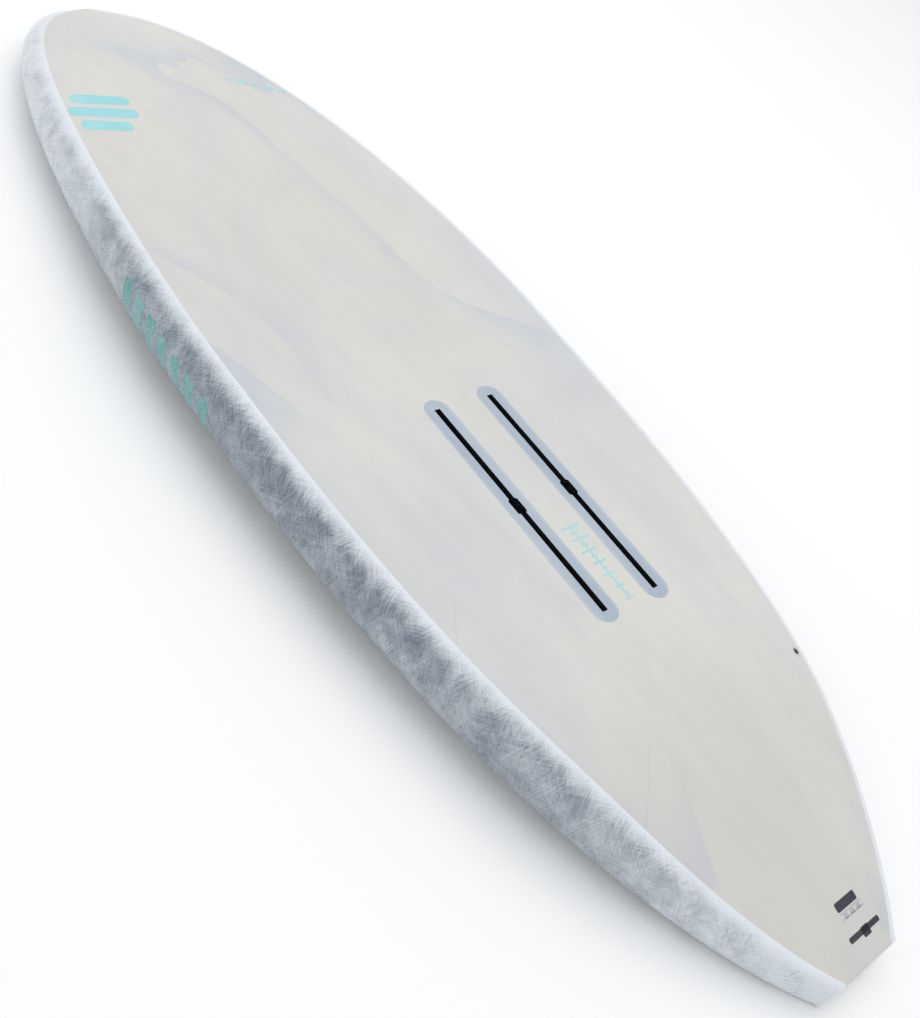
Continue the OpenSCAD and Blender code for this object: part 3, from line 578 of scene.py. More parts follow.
def blockQuads():
    b = railBlocks
    for i in range(b["count"]):
        x = b["firstX"] - i * b["pitch"]
        high, low = b["high"] + i * b["fall"], b["low"] + i * b["fall"]
        foot = x - b["slant"]
        yield (x, high), (x - b["length"], high), (foot, low), (foot - b["length"], low)


stripes = {name: printedMark(name, stripeQuads(look), look["ends"], onBottom)
           for name, look in bottomStripes.items()}
railMark = printedMark("railBlocks", blockQuads(), railBlocks["ends"], onRail)
print("printed marks made")


def addNode(tree, kind, inputs=None, **settings):
    # A value is either a number or another node's output
    node = tree.nodes.new(kind)
    for name, value in settings.items():
        setattr(node, name, value)
    for name, value in (inputs or {}).items():
        if isinstance(value, bpy.types.NodeSocket):
            tree.links.new(value, node.inputs[name])
        else:
            node.inputs[name].default_value = value
    return node


def calc(tree, operation, a, b=0.0, clamp=False):
    return addNode(tree, "ShaderNodeMath", {0: a, 1: b}, operation=operation, use_clamp=clamp).outputs[0]


# The foil's position scale runs back from the middle of the tracks
scaleSink = 0.00013  # how far the middle of a line's thickness lies under the skin
scaleLook = {"Ticks": 13, "Spacing": 0.00935, "Start X": trackX - 0.051, "Height": bottomTop - scaleSink,
             "Long End": 0.030, "Short End": 0.013, "Minor Share": 0.38, "Line Width": 0.0024,
             "Dash Share": 0.52, "Thickness": 0.00056}


def scaleTree():
    tree = bpy.data.node_groups.new("scaleTicks", "GeometryNodeTree")
    tree.is_modifier = True
    tree.interface.new_socket("Geometry", in_out="INPUT", socket_type="NodeSocketGeometry")
    for name, value in scaleLook.items():
        kind = "NodeSocketInt" if isinstance(value, int) else "NodeSocketFloat"
        tree.interface.new_socket(name, in_out="INPUT", socket_type=kind)
    tree.interface.new_socket("Material", in_out="INPUT", socket_type="NodeSocketMaterial")
    tree.interface.new_socket("Geometry", in_out="OUTPUT", socket_type="NodeSocketGeometry")
    given = tree.nodes.new("NodeGroupInput").outputs
    result = tree.nodes.new("NodeGroupOutput").inputs

    def vector(x, y, z):
        return addNode(tree, "ShaderNodeCombineXYZ", {"X": x, "Y": y, "Z": z}).outputs[0]

    def row(count, startX, scale):
        back = calc(tree, "MULTIPLY", given["Spacing"], -1.0)
        line = addNode(tree, "GeometryNodeMeshLine",
                       {"Count": count, "Start Location": vector(startX, 0.0, given["Height"]),
                        "Offset": vector(back, 0.0, 0.0)})
        block = addNode(tree, "GeometryNodeMeshCube")
        copies = addNode(tree, "GeometryNodeInstanceOnPoints",
                         {"Points": line.outputs[0], "Instance": block.outputs[0], "Scale": scale})
        return copies.outputs[0]

    # Ticks get shorter from first to last, and every other one is a minor one
    index = tree.nodes.new("GeometryNodeInputIndex").outputs[0]
    share = calc(tree, "DIVIDE", index, calc(tree, "SUBTRACT", given["Ticks"], 1.0))
    change = calc(tree, "SUBTRACT", given["Short End"], given["Long End"])
    longest = calc(tree, "ADD", given["Long End"], calc(tree, "MULTIPLY", share, change))
    odd = calc(tree, "MODULO", index, 2.0)
    loss = calc(tree, "MULTIPLY", odd, calc(tree, "SUBTRACT", 1.0, given["Minor Share"]))
    length = calc(tree, "MULTIPLY", longest, calc(tree, "SUBTRACT", 1.0, loss))
    ticks = row(given["Ticks"], given["Start X"], vector(given["Line Width"], length, given["Thickness"]))

    # A dash lies midway between two ticks
    dashX = calc(tree, "SUBTRACT", given["Start X"], calc(tree, "MULTIPLY", given["Spacing"], 0.5))
    dash = calc(tree, "MULTIPLY", given["Spacing"], given["Dash Share"])
    dashes = row(calc(tree, "SUBTRACT", given["Ticks"], 1.0), dashX,
                 vector(dash, given["Line Width"], given["Thickness"]))
    joined = tree.nodes.new("GeometryNodeJoinGeometry")
    tree.links.new(ticks, joined.inputs[0])
    tree.links.new(dashes, joined.inputs[0])
    real = addNode(tree, "GeometryNodeRealizeInstances", {0: joined.outputs[0]})
    inked = addNode(tree, "GeometryNodeSetMaterial",
                    {"Geometry": real.outputs[0], "Material": given["Material"]})
    tree.links.new(inked.outputs[0], result[0])
    return tree


def shade(r, g, b):
    # From screen levels of 0 to 255 to the linear colour that a shader takes
    parts = [c / 255 for c in (r, g, b)]
    return tuple(c / 12.92 if c <= 0.04045 else ((c + 0.055) / 1.055) ** 2.4 for c in parts) + (1.0,)


def newMaterial(name, **uniform):
    material = bpy.data.materials.new(name)
    material.use_nodes = True
    shader = material.node_tree.nodes["Principled BSDF"]
    for socket, value in uniform.items():
        shader.inputs[socket.replace("_", " ").title().replace("Ior", "IOR")].default_value = value
    return material, material.node_tree, shader


def newGroup(name, inputs, outputs):
    tree = bpy.data.node_groups.new(name, "ShaderNodeTree")
    for title, value in inputs.items():
        kind = "NodeSocketVector" if value is None else "NodeSocketFloat"
        socket = tree.interface.new_socket(title, in_out="INPUT", socket_type=kind)
        if value is not None:
            socket.default_value = value
    for title in outputs:
        tree.interface.new_socket(title, in_out="OUTPUT", socket_type="NodeSocketFloat")
    return tree, tree.nodes.new("NodeGroupInput").outputs, tree.nodes.new("NodeGroupOutput").inputs


def ease(tree, value, low, high, start=0.0, end=1.0):
    return addNode(tree, "ShaderNodeMapRange", {"Value": value, "From Min": low, "From Max": high,
                   "To Min": start, "To Max": end}, interpolation_type="SMOOTHSTEP").outputs[0]


def stretch(tree, vector, scale, turn=0.0, shift=(0.0, 0.0, 0.0)):
    turned = addNode(tree, "ShaderNodeVectorRotate", {"Vector": vector, "Angle": turn},
                     rotation_type="Z_AXIS")
    return addNode(tree, "ShaderNodeMapping", {"Vector": turned.outputs[0], "Scale": scale,
                   "Location": shift}).outputs[0]


def noise(tree, vector, scale, detail=3.0, roughness=0.5, distortion=0.0):
    return addNode(tree, "ShaderNodeTexNoise", {"Vector": vector, "Scale": scale, "Detail": detail,
                   "Roughness": roughness, "Distortion": distortion}).outputs[0]


def blendColor(tree, mask, a, b):
    return addNode(tree, "ShaderNodeMix", {0: mask, 6: a, 7: b}, data_type="RGBA").outputs[2]


def objectPlace(tree):
    return addNode(tree, "ShaderNodeTexCoord").outputs["Object"]


def bump(tree, shader, height, strength, distance):
    node = addNode(tree, "ShaderNodeBump", {"Height": height, "Strength": strength, "Distance": distance})
    tree.links.new(node.outputs[0], shader.inputs["Normal"])


def useGroup(tree, group, **inputs):
    named = {name.replace("_", " ").title(): value for name, value in inputs.items()}
    return addNode(tree, "ShaderNodeGroup", named, node_tree=group).outputs


marbleLook = {"bandRun": (1.25, 3.6, 1.0), "bandPower": 3.2, "bandEdge": (1.0, 0.955),
              "placeScale": 2.6, "place": (0.42, 0.62), "cloudRun": (2.4, 4.2, 1.0), "cloudTurn": 0.3,
              "cloud": (0.36, 0.70), "streakRun": (7.0, 44.0, 1.0), "streak": (0.38, 0.68),
              "peelScale": 210.0}


def marbleGroup():
    # Smoky bands run lengthwise and are sharp along one side, and cloudy patches lie between them
    look = marbleLook
    tree, given, result = newGroup("marble", {"Vector": None, "Slant": -0.16, "Bands": 5.5},
                                   ["Vein", "Cloud", "Streak", "Peel"])
    run = stretch(tree, given["Vector"], look["bandRun"], given["Slant"])
    flow = noise(tree, run, 1.0, detail=5.0, roughness=0.42, distortion=0.55)
    saw = calc(tree, "FRACT", calc(tree, "MULTIPLY", flow, given["Bands"]))
    edge = calc(tree, "POWER", saw, look["bandPower"])
    soft = calc(tree, "MULTIPLY", edge, ease(tree, saw, *look["bandEdge"]))
    place = ease(tree, noise(tree, given["Vector"], look["placeScale"], detail=2.0), *look["place"])
    tree.links.new(calc(tree, "MULTIPLY", soft, place), result["Vein"])
    cloudPlace = stretch(tree, given["Vector"], look["cloudRun"], look["cloudTurn"])
    patch = noise(tree, cloudPlace, 1.0, detail=6.0, roughness=0.58, distortion=0.9)
    tree.links.new(ease(tree, patch, *look["cloud"]), result["Cloud"])
    streakPlace = stretch(tree, given["Vector"], look["streakRun"], given["Slant"])
    fine = noise(tree, streakPlace, 1.0, detail=6.0, roughness=0.6, distortion=0.4)
    tree.links.new(ease(tree, fine, *look["streak"]), result["Streak"])
    tree.links.new(noise(tree, given["Vector"], look["peelScale"], detail=2.0), result["Peel"])
    return tree


def hairlineGroup():
    # A faint straight crease under the coat, given its middle, its turn and its half length
    inputs = {"Vector": None, "Middle X": 0.0, "Middle Y": 0.0, "Turn": 0.0, "Half Length": 0.05,
              "Width": 0.0016}
    tree, given, result = newGroup("hairline", inputs, ["Mask"])
    middle = addNode(tree, "ShaderNodeCombineXYZ", {"X": given["Middle X"], "Y": given["Middle Y"]})
    moved = addNode(tree, "ShaderNodeVectorMath", {0: given["Vector"], 1: middle.outputs[0]},
                    operation="SUBTRACT")
    turned = addNode(tree, "ShaderNodeVectorRotate", {"Vector": moved.outputs[0], "Angle": given["Turn"]},
                     rotation_type="Z_AXIS")
    split = addNode(tree, "ShaderNodeSeparateXYZ", {0: turned.outputs[0]}).outputs
    side = calc(tree, "DIVIDE", calc(tree, "ABSOLUTE", split["Y"]), given["Width"])
    run = calc(tree, "DIVIDE", calc(tree, "ABSOLUTE", split["X"]), given["Half Length"])
    thin, ends = ease(tree, side, low=1.0, high=0.2), ease(tree, run, low=1.0, high=0.7)
    tree.links.new(calc(tree, "MULTIPLY", thin, ends), result["Mask"])
    return tree


brushLook = {"bendScale": 16.0, "bend": (0.004, 0.004, 0.0), "hair": (17.0, 470.0, 1.0),
             "clusterScale": 34.0, "cluster": (0.30, 0.66), "bareLevel": 0.72, "coverDrop": 0.3,
             "softness": 0.12}


def brushGroup():
    # One pass of a dry brush: fine strokes at an angle, in clusters
    look = brushLook
    tree, given, result = newGroup("brush", {"Vector": None, "Angle": 0.6, "Offset": 0.0, "Cover": 0.5},
                                   ["Stroke"])
    shift = addNode(tree, "ShaderNodeCombineXYZ", {"X": given["Offset"], "Y": given["Offset"]})
    moved = addNode(tree, "ShaderNodeVectorMath", {0: given["Vector"], 1: shift.outputs[0]},
                    operation="ADD").outputs[0]
    bend = addNode(tree, "ShaderNodeTexNoise",
                   {"Vector": moved, "Scale": look["bendScale"], "Detail": 1.0})
    bent = addNode(tree, "ShaderNodeVectorMath", {0: bend.outputs["Color"], 1: look["bend"], 2: moved},
                   operation="MULTIPLY_ADD").outputs[0]
    line = noise(tree, stretch(tree, bent, look["hair"], given["Angle"]), 1.0, detail=3.0, roughness=0.6)
    clumps = noise(tree, moved, look["clusterScale"], detail=3.0, roughness=0.6)
    cluster = ease(tree, clumps, *look["cluster"])
    drop = calc(tree, "MULTIPLY", given["Cover"], look["coverDrop"])
    level = calc(tree, "SUBTRACT", look["bareLevel"], drop)
    mark = addNode(tree, "ShaderNodeMapRange",
                   {"Value": line, "From Min": calc(tree, "SUBTRACT", level, look["softness"]),
                    "From Max": level}).outputs[0]
    tree.links.new(calc(tree, "MULTIPLY", mark, cluster), result["Stroke"])
    return tree


def grainGroup():
    # Fine moulded or foamed texture: a height and a slow change of tone
    slowShare = 0.06
    tree, given, result = newGroup("grain", {"Vector": None, "Scale": 600.0}, ["Height", "Tone"])
    height = noise(tree, given["Vector"], given["Scale"], detail=3.0, roughness=0.6)
    tree.links.new(height, result["Height"])
    slow = noise(tree, given["Vector"], calc(tree, "MULTIPLY", given["Scale"], slowShare), detail=4.0)
    tree.links.new(ease(tree, slow, low=0.3, high=0.7), result["Tone"])
    return tree


marble, hairline, brush, grain = marbleGroup(), hairlineGroup(), brushGroup(), grainGroup()

# The smoky grey tints the streaks and creases, and also darkens the tail, partly as tint and partly as painted
# shade
gelcoat = {"cream": shade(217, 216, 210), "lavender": shade(194, 198, 208), "beige": shade(211, 204, 194),
           "smokeAndShade": shade(186, 183, 180), "veinShare": 0.9, "cloudShare": 0.5, "streakShare": 0.13,
           "creaseShare": 0.26, "warmRun": (1.1, 3.0, 1.0), "warmTurn": -0.2, "warmShift": (3.0, 1.0, 0.0),
           "warm": (0.42, 0.64), "tailTintAndShade": 0.26, "tailTintAndShadeEnds": 0.16, "gloss": (0.26, 0.36),
           "peelStrength": 0.25, "peel": 0.00004}


def gelcoatMaterial(name, veinShare, cloudShare, creases):
    # Cream laminate with warm and cool clouds, smoky veins, fine streaks, and a tail painted darker, partly as a
    # grey tint and partly as painted shade of the kick
    look = gelcoat
    material, tree, shader = newMaterial(name, coat_weight=0.55, coat_roughness=0.06,
                                         specular_ior_level=0.45)
    place = objectPlace(tree)
    masks = useGroup(tree, marble, vector=place)
    warmPlace = stretch(tree, place, look["warmRun"], look["warmTurn"], look["warmShift"])
    warm = ease(tree, noise(tree, warmPlace, 1.0, detail=4.0), *look["warm"])
    split = addNode(tree, "ShaderNodeSeparateXYZ", {0: place}).outputs
    # Towards the tail the colour turns darker grey: partly tint, partly painted shade where the kick faces away
    # from the light
    towardsTail = ease(tree, split["X"], trackX - look["tailTintAndShadeEnds"], tailX + look["tailTintAndShadeEnds"])
    tailTintAndShadeMask = calc(tree, "MULTIPLY", towardsTail, look["tailTintAndShade"])
    layers = [(warm, cloudShare, "beige"), (masks["Cloud"], cloudShare, "lavender"),
              (masks["Vein"], veinShare, "lavender"), (masks["Streak"], look["streakShare"], "smokeAndShade"),
              (tailTintAndShadeMask, cloudShare, "smokeAndShade")]
    color = look["cream"]
    for mask, share, tint in layers:
        color = blendColor(tree, calc(tree, "MULTIPLY", mask, share), color, look[tint])
    for x, y, turn, halfLength in creases:
        line = useGroup(tree, hairline, vector=place, middle_x=x, middle_y=y, turn=turn,
                        half_length=halfLength)
        crease = calc(tree, "MULTIPLY", line["Mask"], look["creaseShare"])
        color = blendColor(tree, crease, color, look["smokeAndShade"])
    tree.links.new(color, shader.inputs["Base Color"])
    tree.links.new(ease(tree, masks["Cloud"], 0.0, 1.0, *look["gloss"]), shader.inputs["Roughness"])
    bump(tree, shader, masks["Peel"], look["peelStrength"], look["peel"])
    return material


# Each crease has its middle, its turn and its half length
creases = [(trackX - 0.3685, 0.1565, 0.700, 0.075), (trackX - 0.1170, 0.2285, 0.568, 0.053)]
bottomCoat = gelcoatMaterial("bottomCoat", gelcoat["veinShare"], gelcoat["cloudShare"], creases)
deckCoat = gelcoatMaterial("deckCoat", veinShare=0.35, cloudShare=0.30, creases=[])

# A pass is a brush angle, where its pattern starts and how much it covers. A tone is a place from the tail and how
# pale the rail is there. The pale band along the chine is partly a paint fade and partly a painted highlight of
# the rounded chine
railPaint = {"dark": shade(92, 107, 123), "light": shade(214, 220, 227), "chineFadeAndHighlight": shade(226, 231, 237),
             "passes": ((0.70, 0.0, 0.62), (-0.62, 3.1, 0.60), (1.22, 7.7, 0.55), (-1.30, 5.3, 0.52)),
             "tones": ((0.0, 0.84), (0.09, 0.72), (0.23, 0.38), (0.36, 0.13), (0.52, 0.15), (0.69, 0.01),
                       (0.90, 0.0), (1.12, 0.06), (1.40, 0.54), (1.62, 0.64), (1.85, 0.70)),
             "passShare": 0.40, "strokeShare": 0.44, "fadeAndHighlightStart": -0.002, "fadeAndHighlightEnd": 0.026,
             "ragged": 0.008, "raggedLevel": 0.3, "cloudScale": 17.0, "cloud": 0.11, "gloss": (0.26, 0.40),
             "strokeStrength": 0.2, "strokeHeight": 0.00005}


def brushedPasses(tree, place):
    # Passes lie over each other and add up
    total = 0.0
    for angle, offset, cover in railPaint["passes"]:
        one = useGroup(tree, brush, vector=place, angle=angle, offset=offset, cover=cover)["Stroke"]
        total = calc(tree, "ADD", total, calc(tree, "MULTIPLY", one, railPaint["passShare"]), True)
    return total


def railMaterial():
    r = railPaint
    material, tree, shader = newMaterial("railCoat", coat_weight=0.5, coat_roughness=0.08)
    place = addNode(tree, "ShaderNodeUVMap", uv_map="railMap").outputs[0]
    split = addNode(tree, "ShaderNodeSeparateXYZ", {0: place}).outputs
    strokes = brushedPasses(tree, place)
    lastTone = r["tones"][-1][0]
    ramp = addNode(tree, "ShaderNodeValToRGB", {0: calc(tree, "DIVIDE", split["X"], lastTone)})
    stops = ramp.color_ramp.elements
    stops.remove(stops[0])
    for i, (at, value) in enumerate(r["tones"]):
        stop = stops[0] if i == 0 else stops.new(at / lastTone)
        stop.position = at / lastTone
        stop.color = (value, value, value, 1.0)
    clouds = noise(tree, place, r["cloudScale"], detail=5.0, roughness=0.6)
    cloud = ease(tree, clouds, low=0.32, high=0.68, start=-r["cloud"], end=r["cloud"])
    paler = calc(tree, "ADD", ramp.outputs[0], cloud, True)
    veil = calc(tree, "ADD", paler, calc(tree, "MULTIPLY", strokes, r["strokeShare"]), True)
    color = blendColor(tree, veil, r["dark"], r["light"])
    # Along the chine the rail turns near white, partly a paint fade and partly a painted highlight, with a ragged
    # brushed edge
    rag = calc(tree, "MULTIPLY", calc(tree, "SUBTRACT", strokes, r["raggedLevel"]), r["ragged"])
    down = calc(tree, "SUBTRACT", split["Y"], rag)
    color = blendColor(tree, ease(tree, down, r["fadeAndHighlightEnd"], r["fadeAndHighlightStart"]), color, r["chineFadeAndHighlight"])
    tree.links.new(color, shader.inputs["Base Color"])
    tree.links.new(ease(tree, strokes, 0.0, 1.0, *r["gloss"]), shader.inputs["Roughness"])
    bump(tree, shader, strokes, r["strokeStrength"], r["strokeHeight"])
    return material


def grainMaterial(name, low, high, scale, height, roughness, **uniform):
    # Two tones, the grain's scale and height, and the range of its roughness
    material, tree, shader = newMaterial(name, **uniform)
    masks = useGroup(tree, grain, vector=objectPlace(tree), scale=scale)
    tree.links.new(blendColor(tree, masks["Tone"], shade(*low), shade(*high)), shader.inputs["Base Color"])
    tree.links.new(ease(tree, masks["Height"], 0.3, 0.7, *roughness), shader.inputs["Roughness"])
    bump(tree, shader, masks["Height"], strength=0.6, distance=height)
    return material


patchLook = {"dark": shade(164, 178, 193), "light": shade(177, 189, 200), "rim": shade(190, 199, 207),
             "cutEdge": shade(26, 28, 32), "cloudRun": (6.0, 24.0, 1.0), "rimShare": 0.6,
             "rimWidth": 0.006, "wanderScale": 60.0, "wander": 0.004, "gloss": (0.26, 0.34)}


def patchMaterial():
    # Clear laminate over pale blue foam, whiter towards the rim, with a dark cut edge at the slot
    look = patchLook
    material, tree, shader = newMaterial("patchCoat", coat_weight=0.55, coat_roughness=0.06)
    place = objectPlace(tree)
    split = addNode(tree, "ShaderNodeSeparateXYZ", {0: place}).outputs
    cloud = noise(tree, stretch(tree, place, look["cloudRun"]), 1.0, detail=4.0)
    color = blendColor(tree, ease(tree, cloud, 0.3, 0.7), look["dark"], look["light"])
    side = calc(tree, "ABSOLUTE", calc(tree, "SUBTRACT", calc(tree, "ABSOLUTE", split["Y"]), trackY))
    uneven = calc(tree, "SUBTRACT", noise(tree, place, look["wanderScale"]), 0.5)
    wander = calc(tree, "MULTIPLY", uneven, look["wander"])
    rim = ease(tree, calc(tree, "ADD", side, wander), patchWidth / 2 - look["rimWidth"], patchWidth / 2)
    color = blendColor(tree, calc(tree, "MULTIPLY", rim, look["rimShare"]), color, look["rim"])
    facing = addNode(tree, "ShaderNodeNewGeometry").outputs["Normal"]
    level = addNode(tree, "ShaderNodeSeparateXYZ", {0: facing}).outputs["Z"]
    color = blendColor(tree, ease(tree, level, low=0.9, high=0.6), color, look["cutEdge"])
    tree.links.new(color, shader.inputs["Base Color"])
    tree.links.new(ease(tree, cloud, 0.3, 0.7, *look["gloss"]), shader.inputs["Roughness"])
    peel = noise(tree, place, marbleLook["peelScale"])
    bump(tree, shader, peel, gelcoat["peelStrength"], gelcoat["peel"])
    return material


weaveLook = {"towsPerMetre": 500.0, "dark": shade(34, 36, 39), "light": shade(66, 69, 74),
             "gloss": (0.3, 0.5), "strength": 0.5, "height": 0.0001}


def weaveMaterial():
    # Plain weave of dark tows, 2 mm apart
    look = weaveLook
    material, tree, shader = newMaterial("stringerWeave", coat_weight=0.4, coat_roughness=0.15)
    place = stretch(tree, objectPlace(tree), (look["towsPerMetre"],) * 3)
    split = addNode(tree, "ShaderNodeSeparateXYZ", {0: place}).outputs
    tows = [calc(tree, "SINE", calc(tree, "MULTIPLY", split[axis], math.pi)) for axis in ("X", "Z")]
    over = ease(tree, calc(tree, "MULTIPLY", *tows), -0.15, 0.15)
    tree.links.new(blendColor(tree, over, look["dark"], look["light"]), shader.inputs["Base Color"])
    tree.links.new(ease(tree, over, 0.0, 1.0, *look["gloss"]), shader.inputs["Roughness"])
    bump(tree, shader, over, look["strength"], look["height"])
    return material


beadLook = {"perMetre": 240.0, "dark": shade(240, 238, 228), "light": shade(250, 249, 244),
            "gloss": (0.7, 0.85), "strength": 0.8, "height": 0.0006}


def beadMaterial():
    # Moulded beads pressed together, each a little different in tone
    look = beadLook
    material, tree, shader = newMaterial("beadFoam")
    cells = addNode(tree, "ShaderNodeTexVoronoi", {"Vector": objectPlace(tree), "Scale": look["perMetre"]},
                    feature="F1")
    tone = addNode(tree, "ShaderNodeSeparateXYZ", {0: cells.outputs["Color"]}).outputs["X"]
    tree.links.new(blendColor(tree, tone, look["dark"], look["light"]), shader.inputs["Base Color"])
    tree.links.new(ease(tree, tone, 0.0, 1.0, *look["gloss"]), shader.inputs["Roughness"])
    dome = ease(tree, cells.outputs["Distance"], 0.2, 0.8, start=1.0, end=0.0)
    bump(tree, shader, dome, look["strength"], look["height"])
    return material


turnedLook = {"streakRun": (180.0, 180.0, 2600.0), "smearScale": 120.0, "gloss": (0.22, 0.42),
              "strength": 0.3, "height": 0.00003}


def turnedMaterial(name, low, high, metallic):
    # Fine level streaks, as a cutter leaves them round an upright part
    look = turnedLook
    material, tree, shader = newMaterial(name, metallic=metallic)
    place = objectPlace(tree)
    streak = noise(tree, stretch(tree, place, look["streakRun"]), 1.0, detail=3.0)
    smear = noise(tree, place, look["smearScale"], detail=4.0)
    both = calc(tree, "MULTIPLY", calc(tree, "ADD", streak, smear), 0.5)
    mask = ease(tree, both, low=0.35, high=0.65)
    tree.links.new(blendColor(tree, mask, shade(*low), shade(*high)), shader.inputs["Base Color"])
    tree.links.new(ease(tree, mask, 0.0, 1.0, *look["gloss"]), shader.inputs["Roughness"])
    bump(tree, shader, streak, look["strength"], look["height"])
    return material


def brushedInk(name, low, high):
    # Ink on the rail under the same dry brush strokes
    material, tree, shader = newMaterial(name, coat_weight=0.4, coat_roughness=0.08)
    split = addNode(tree, "ShaderNodeSeparateXYZ", {0: objectPlace(tree)}).outputs
    place = addNode(tree, "ShaderNodeCombineXYZ", {"X": split["X"], "Y": split["Z"]}).outputs[0]
    strokes = brushedPasses(tree, place)
    strokesOver = 0.7
    share = calc(tree, "MULTIPLY", strokes, strokesOver)
    tree.links.new(blendColor(tree, share, shade(*low), shade(*high)), shader.inputs["Base Color"])
    tree.links.new(ease(tree, strokes, 0.0, 1.0, *railPaint["gloss"]), shader.inputs["Roughness"])
    bump(tree, shader, strokes, railPaint["strokeStrength"], railPaint["strokeHeight"])
    return material


slotLooks = {
    "foam": beadMaterial(),
    "dense_foam": grainMaterial("denseFoam", (196, 182, 138), (214, 200, 158), 900.0, 0.0002, (0.7, 0.9)),
    "stringer": weaveMaterial(),
    "bottom_finish": bottomCoat,
    "deck_finish": deckCoat,
    "rail_finish": railMaterial(),
    "end_finish": grainMaterial("endCoat", (229, 232, 236), (240, 241, 241), 260.0, 0.00004, (0.28, 0.36),
                                coat_weight=0.5, coat_roughness=0.06),
    "patch_finish": patchMaterial(),
    "track_plastic": grainMaterial("trackPlastic", (26, 28, 31), (36, 39, 43), 1500.0, 0.00006,
                                   (0.42, 0.62)),
    "stainless": turnedMaterial("nutMetal", (40, 42, 46), (66, 69, 73), 1.0),
    "pad_foam": grainMaterial("padFoam", (78, 83, 90), (92, 97, 104), 1100.0, 0.00025, (0.82, 0.96)),
    "vent_metal": turnedMaterial("ventMetal", (206, 209, 212), (226, 228, 230), 0.55),
    "vent_dark": grainMaterial("ventDark", (44, 47, 51), (60, 63, 68), 1400.0, 0.00005, (0.38, 0.55)),
    "seal_rubber": grainMaterial("sealRubber", (26, 26, 28), (38, 38, 40), 1800.0, 0.00005, (0.6, 0.8)),
    "membrane": grainMaterial("membraneFelt", (232, 232, 230), (246, 246, 245), 2600.0, 0.00008,
                              (0.8, 0.95)),
}
inkLooks = {
    "cyan": grainMaterial("cyanInk", (146, 213, 218), (160, 220, 224), 420.0, 0.00003, (0.3, 0.42),
                          coat_weight=0.4, coat_roughness=0.08),
    "teal": brushedInk("tealInk", (66, 140, 142), (150, 196, 199)),
    "black": grainMaterial("blackInk", (40, 43, 52), (56, 59, 68), 500.0, 0.00003, (0.3, 0.45)),
    "grey": grainMaterial("greyInk", (168, 170, 176), (184, 186, 190), 500.0, 0.00003, (0.3, 0.45)),
}
print("materials made")


def scaleMarks():
    base = addObject("scaleMarks", bpy.data.meshes.new("scaleMarks"))
    modifier = base.modifiers.new("scaleTicks", "NODES")
    modifier.node_group = scaleTree()
    for item in modifier.node_group.interface.items_tree:
        if item.in_out == "INPUT" and item.name in scaleLook:
            modifier[item.identifier] = scaleLook[item.name]
        elif item.in_out == "INPUT" and item.name == "Material":
            modifier[item.identifier] = inkLooks["cyan"]
    depsgraph = bpy.context.evaluated_depsgraph_get()
    made = bpy.data.meshes.new_from_object(base.evaluated_get(depsgraph), depsgraph=depsgraph)
    base.modifiers.clear()
    base.data = made
    return base


scaleObject = scaleMarks()
print("scale made:", len(scaleObject.data.polygons), "faces")

# Which pieces stand for which solids, with their slot and their look
pieces = [
    (bottomLaminate, "bottom_finish", None, ["bottom_skin", "nose_block"]),
    (deckLaminate, "deck_finish", None, ["deck_skin"]),
    (railLeft, "rail_finish", None, ["rail_left"]),
    (railRight, "rail_finish", None, ["rail_right"]),
    (transom, "end_finish", None, ["tail_block"]),
    (frontPad, "pad_foam", None, ["deck_pad_front"]),
    (rearPad, "pad_foam", None, ["deck_pad_rear"]),
    (stripes["noseStripes"], "bottom_finish", "cyan", []),
    (stripes["chineDashes"], "bottom_finish", "cyan", []),
    (stripes["tailBar"], "bottom_finish", "black", []),
    (stripes["tailRules"], "bottom_finish", "grey", []),
    (stripes["tailDashes"], "bottom_finish", "grey", []),
    (stripes["tailStrip"], "bottom_finish", "black", []),
    (stripes["tailTab"], "bottom_finish", "black", []),
    (railMark, "rail_finish", "teal", []),
    (scaleObject, "bottom_finish", "cyan", []),
]
for piece, slot, ink, solids in pieces:
    piece.data.materials.clear()
    piece.data.materials.append(inkLooks[ink] if ink else slotLooks[slot])
    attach(piece, "board")
    if solids:
        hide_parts(*solids)

for material in frame["record"]["materials"]:
    for old in [m for m in bpy.data.materials if m.name.split(".")[0] == material["slot"]]:
        for obj in nodes.values():
            for place in obj.material_slots:
                if place.material == old:
                    place.material = slotLooks[material["slot"]]
print("pieces placed")

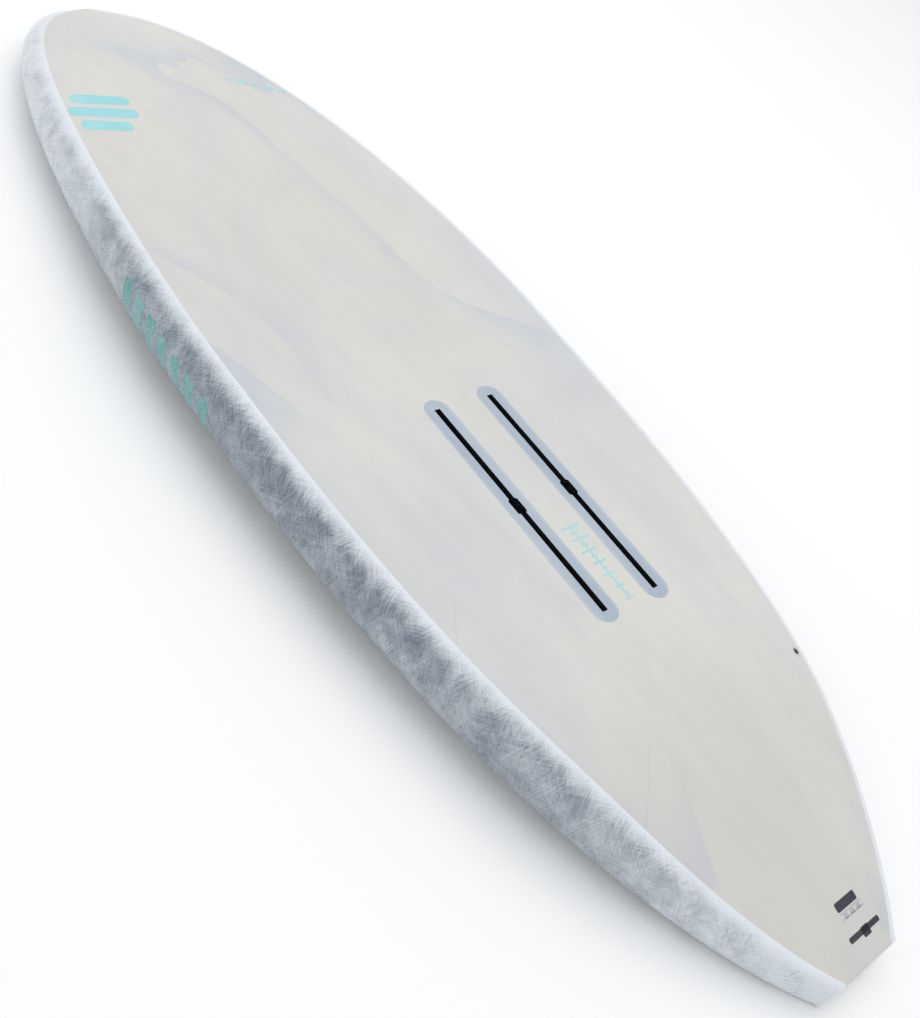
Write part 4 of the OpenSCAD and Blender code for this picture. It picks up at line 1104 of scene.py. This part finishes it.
# A pale floor, a bright room and large soft lights
studio = {"floorHalf": 12.0, "floor": (0.97, 0.97, 0.97, 1.0), "room": (0.97, 0.985, 1.0, 1.0),
          "roomStrength": 0.74}
lights = {
    "overheadSoftbox": {"place": (0.2, -0.7, 3.6), "size": (4.5, 3.5), "energy": 52, "seen": False},
    "railSoftbox": {"place": (-1.2, 3.4, 1.5), "size": (3.5, 2.0), "energy": 7, "seen": True},
    "noseSoftbox": {"place": (3.6, -0.6, 2.2), "size": (2.5, 2.0), "energy": 14, "seen": False},
}
aim = Vector((0, 0, bottomTop / 2))

floorMesh = bpy.data.meshes.new("floor")
reach = studio["floorHalf"]
floorCorners = [(-reach, -reach, 0), (reach, -reach, 0), (reach, reach, 0), (-reach, reach, 0)]
floorMesh.from_pydata(floorCorners, [], [(0, 1, 2, 3)])
floor = addObject("floor", floorMesh)
floorMaterial, _, _ = newMaterial("floorPaint", base_color=studio["floor"], roughness=0.7,
                                            specular_ior_level=0.2)
floorMesh.materials.append(floorMaterial)

world = bpy.data.worlds.new("room")
bpy.context.scene.world = world
world.use_nodes = True
world.node_tree.nodes["Background"].inputs["Color"].default_value = studio["room"]
world.node_tree.nodes["Background"].inputs["Strength"].default_value = studio["roomStrength"]

for name, look in lights.items():
    lamp = bpy.data.lights.new(name, "AREA")
    lamp.shape = "RECTANGLE"
    lamp.size, lamp.size_y = look["size"]
    lamp.energy = look["energy"]
    stand = addObject(name, lamp)
    stand.visible_glossy = look["seen"]  # whether gloss shows the lamp itself
    stand.location = look["place"]
    stand.rotation_mode = "QUATERNION"
    stand.rotation_quaternion = (aim - Vector(look["place"])).to_track_quat("-Z", "Y")

view = {"place": (-0.79065, 1.03305, 1.09536), "aim": (-0.2509, 0.1208, 0.129), "roll": 29.18,
        "lens": 44.187, "nearest": 0.01}
camera = bpy.data.cameras.new("camera")
camera.lens = view["lens"]
camera.clip_start = view["nearest"]
tripod = addObject("camera", camera)
tripod.location = view["place"]
tripod.rotation_mode = "QUATERNION"
direction = Vector(view["aim"]) - Vector(view["place"])
roll = Quaternion((0, 0, 1), math.radians(view["roll"]))
tripod.rotation_quaternion = direction.to_track_quat("-Z", "Y") @ roll
bpy.context.scene.camera = tripod
bpy.context.scene.view_settings.view_transform = "Standard"
print("studio made")
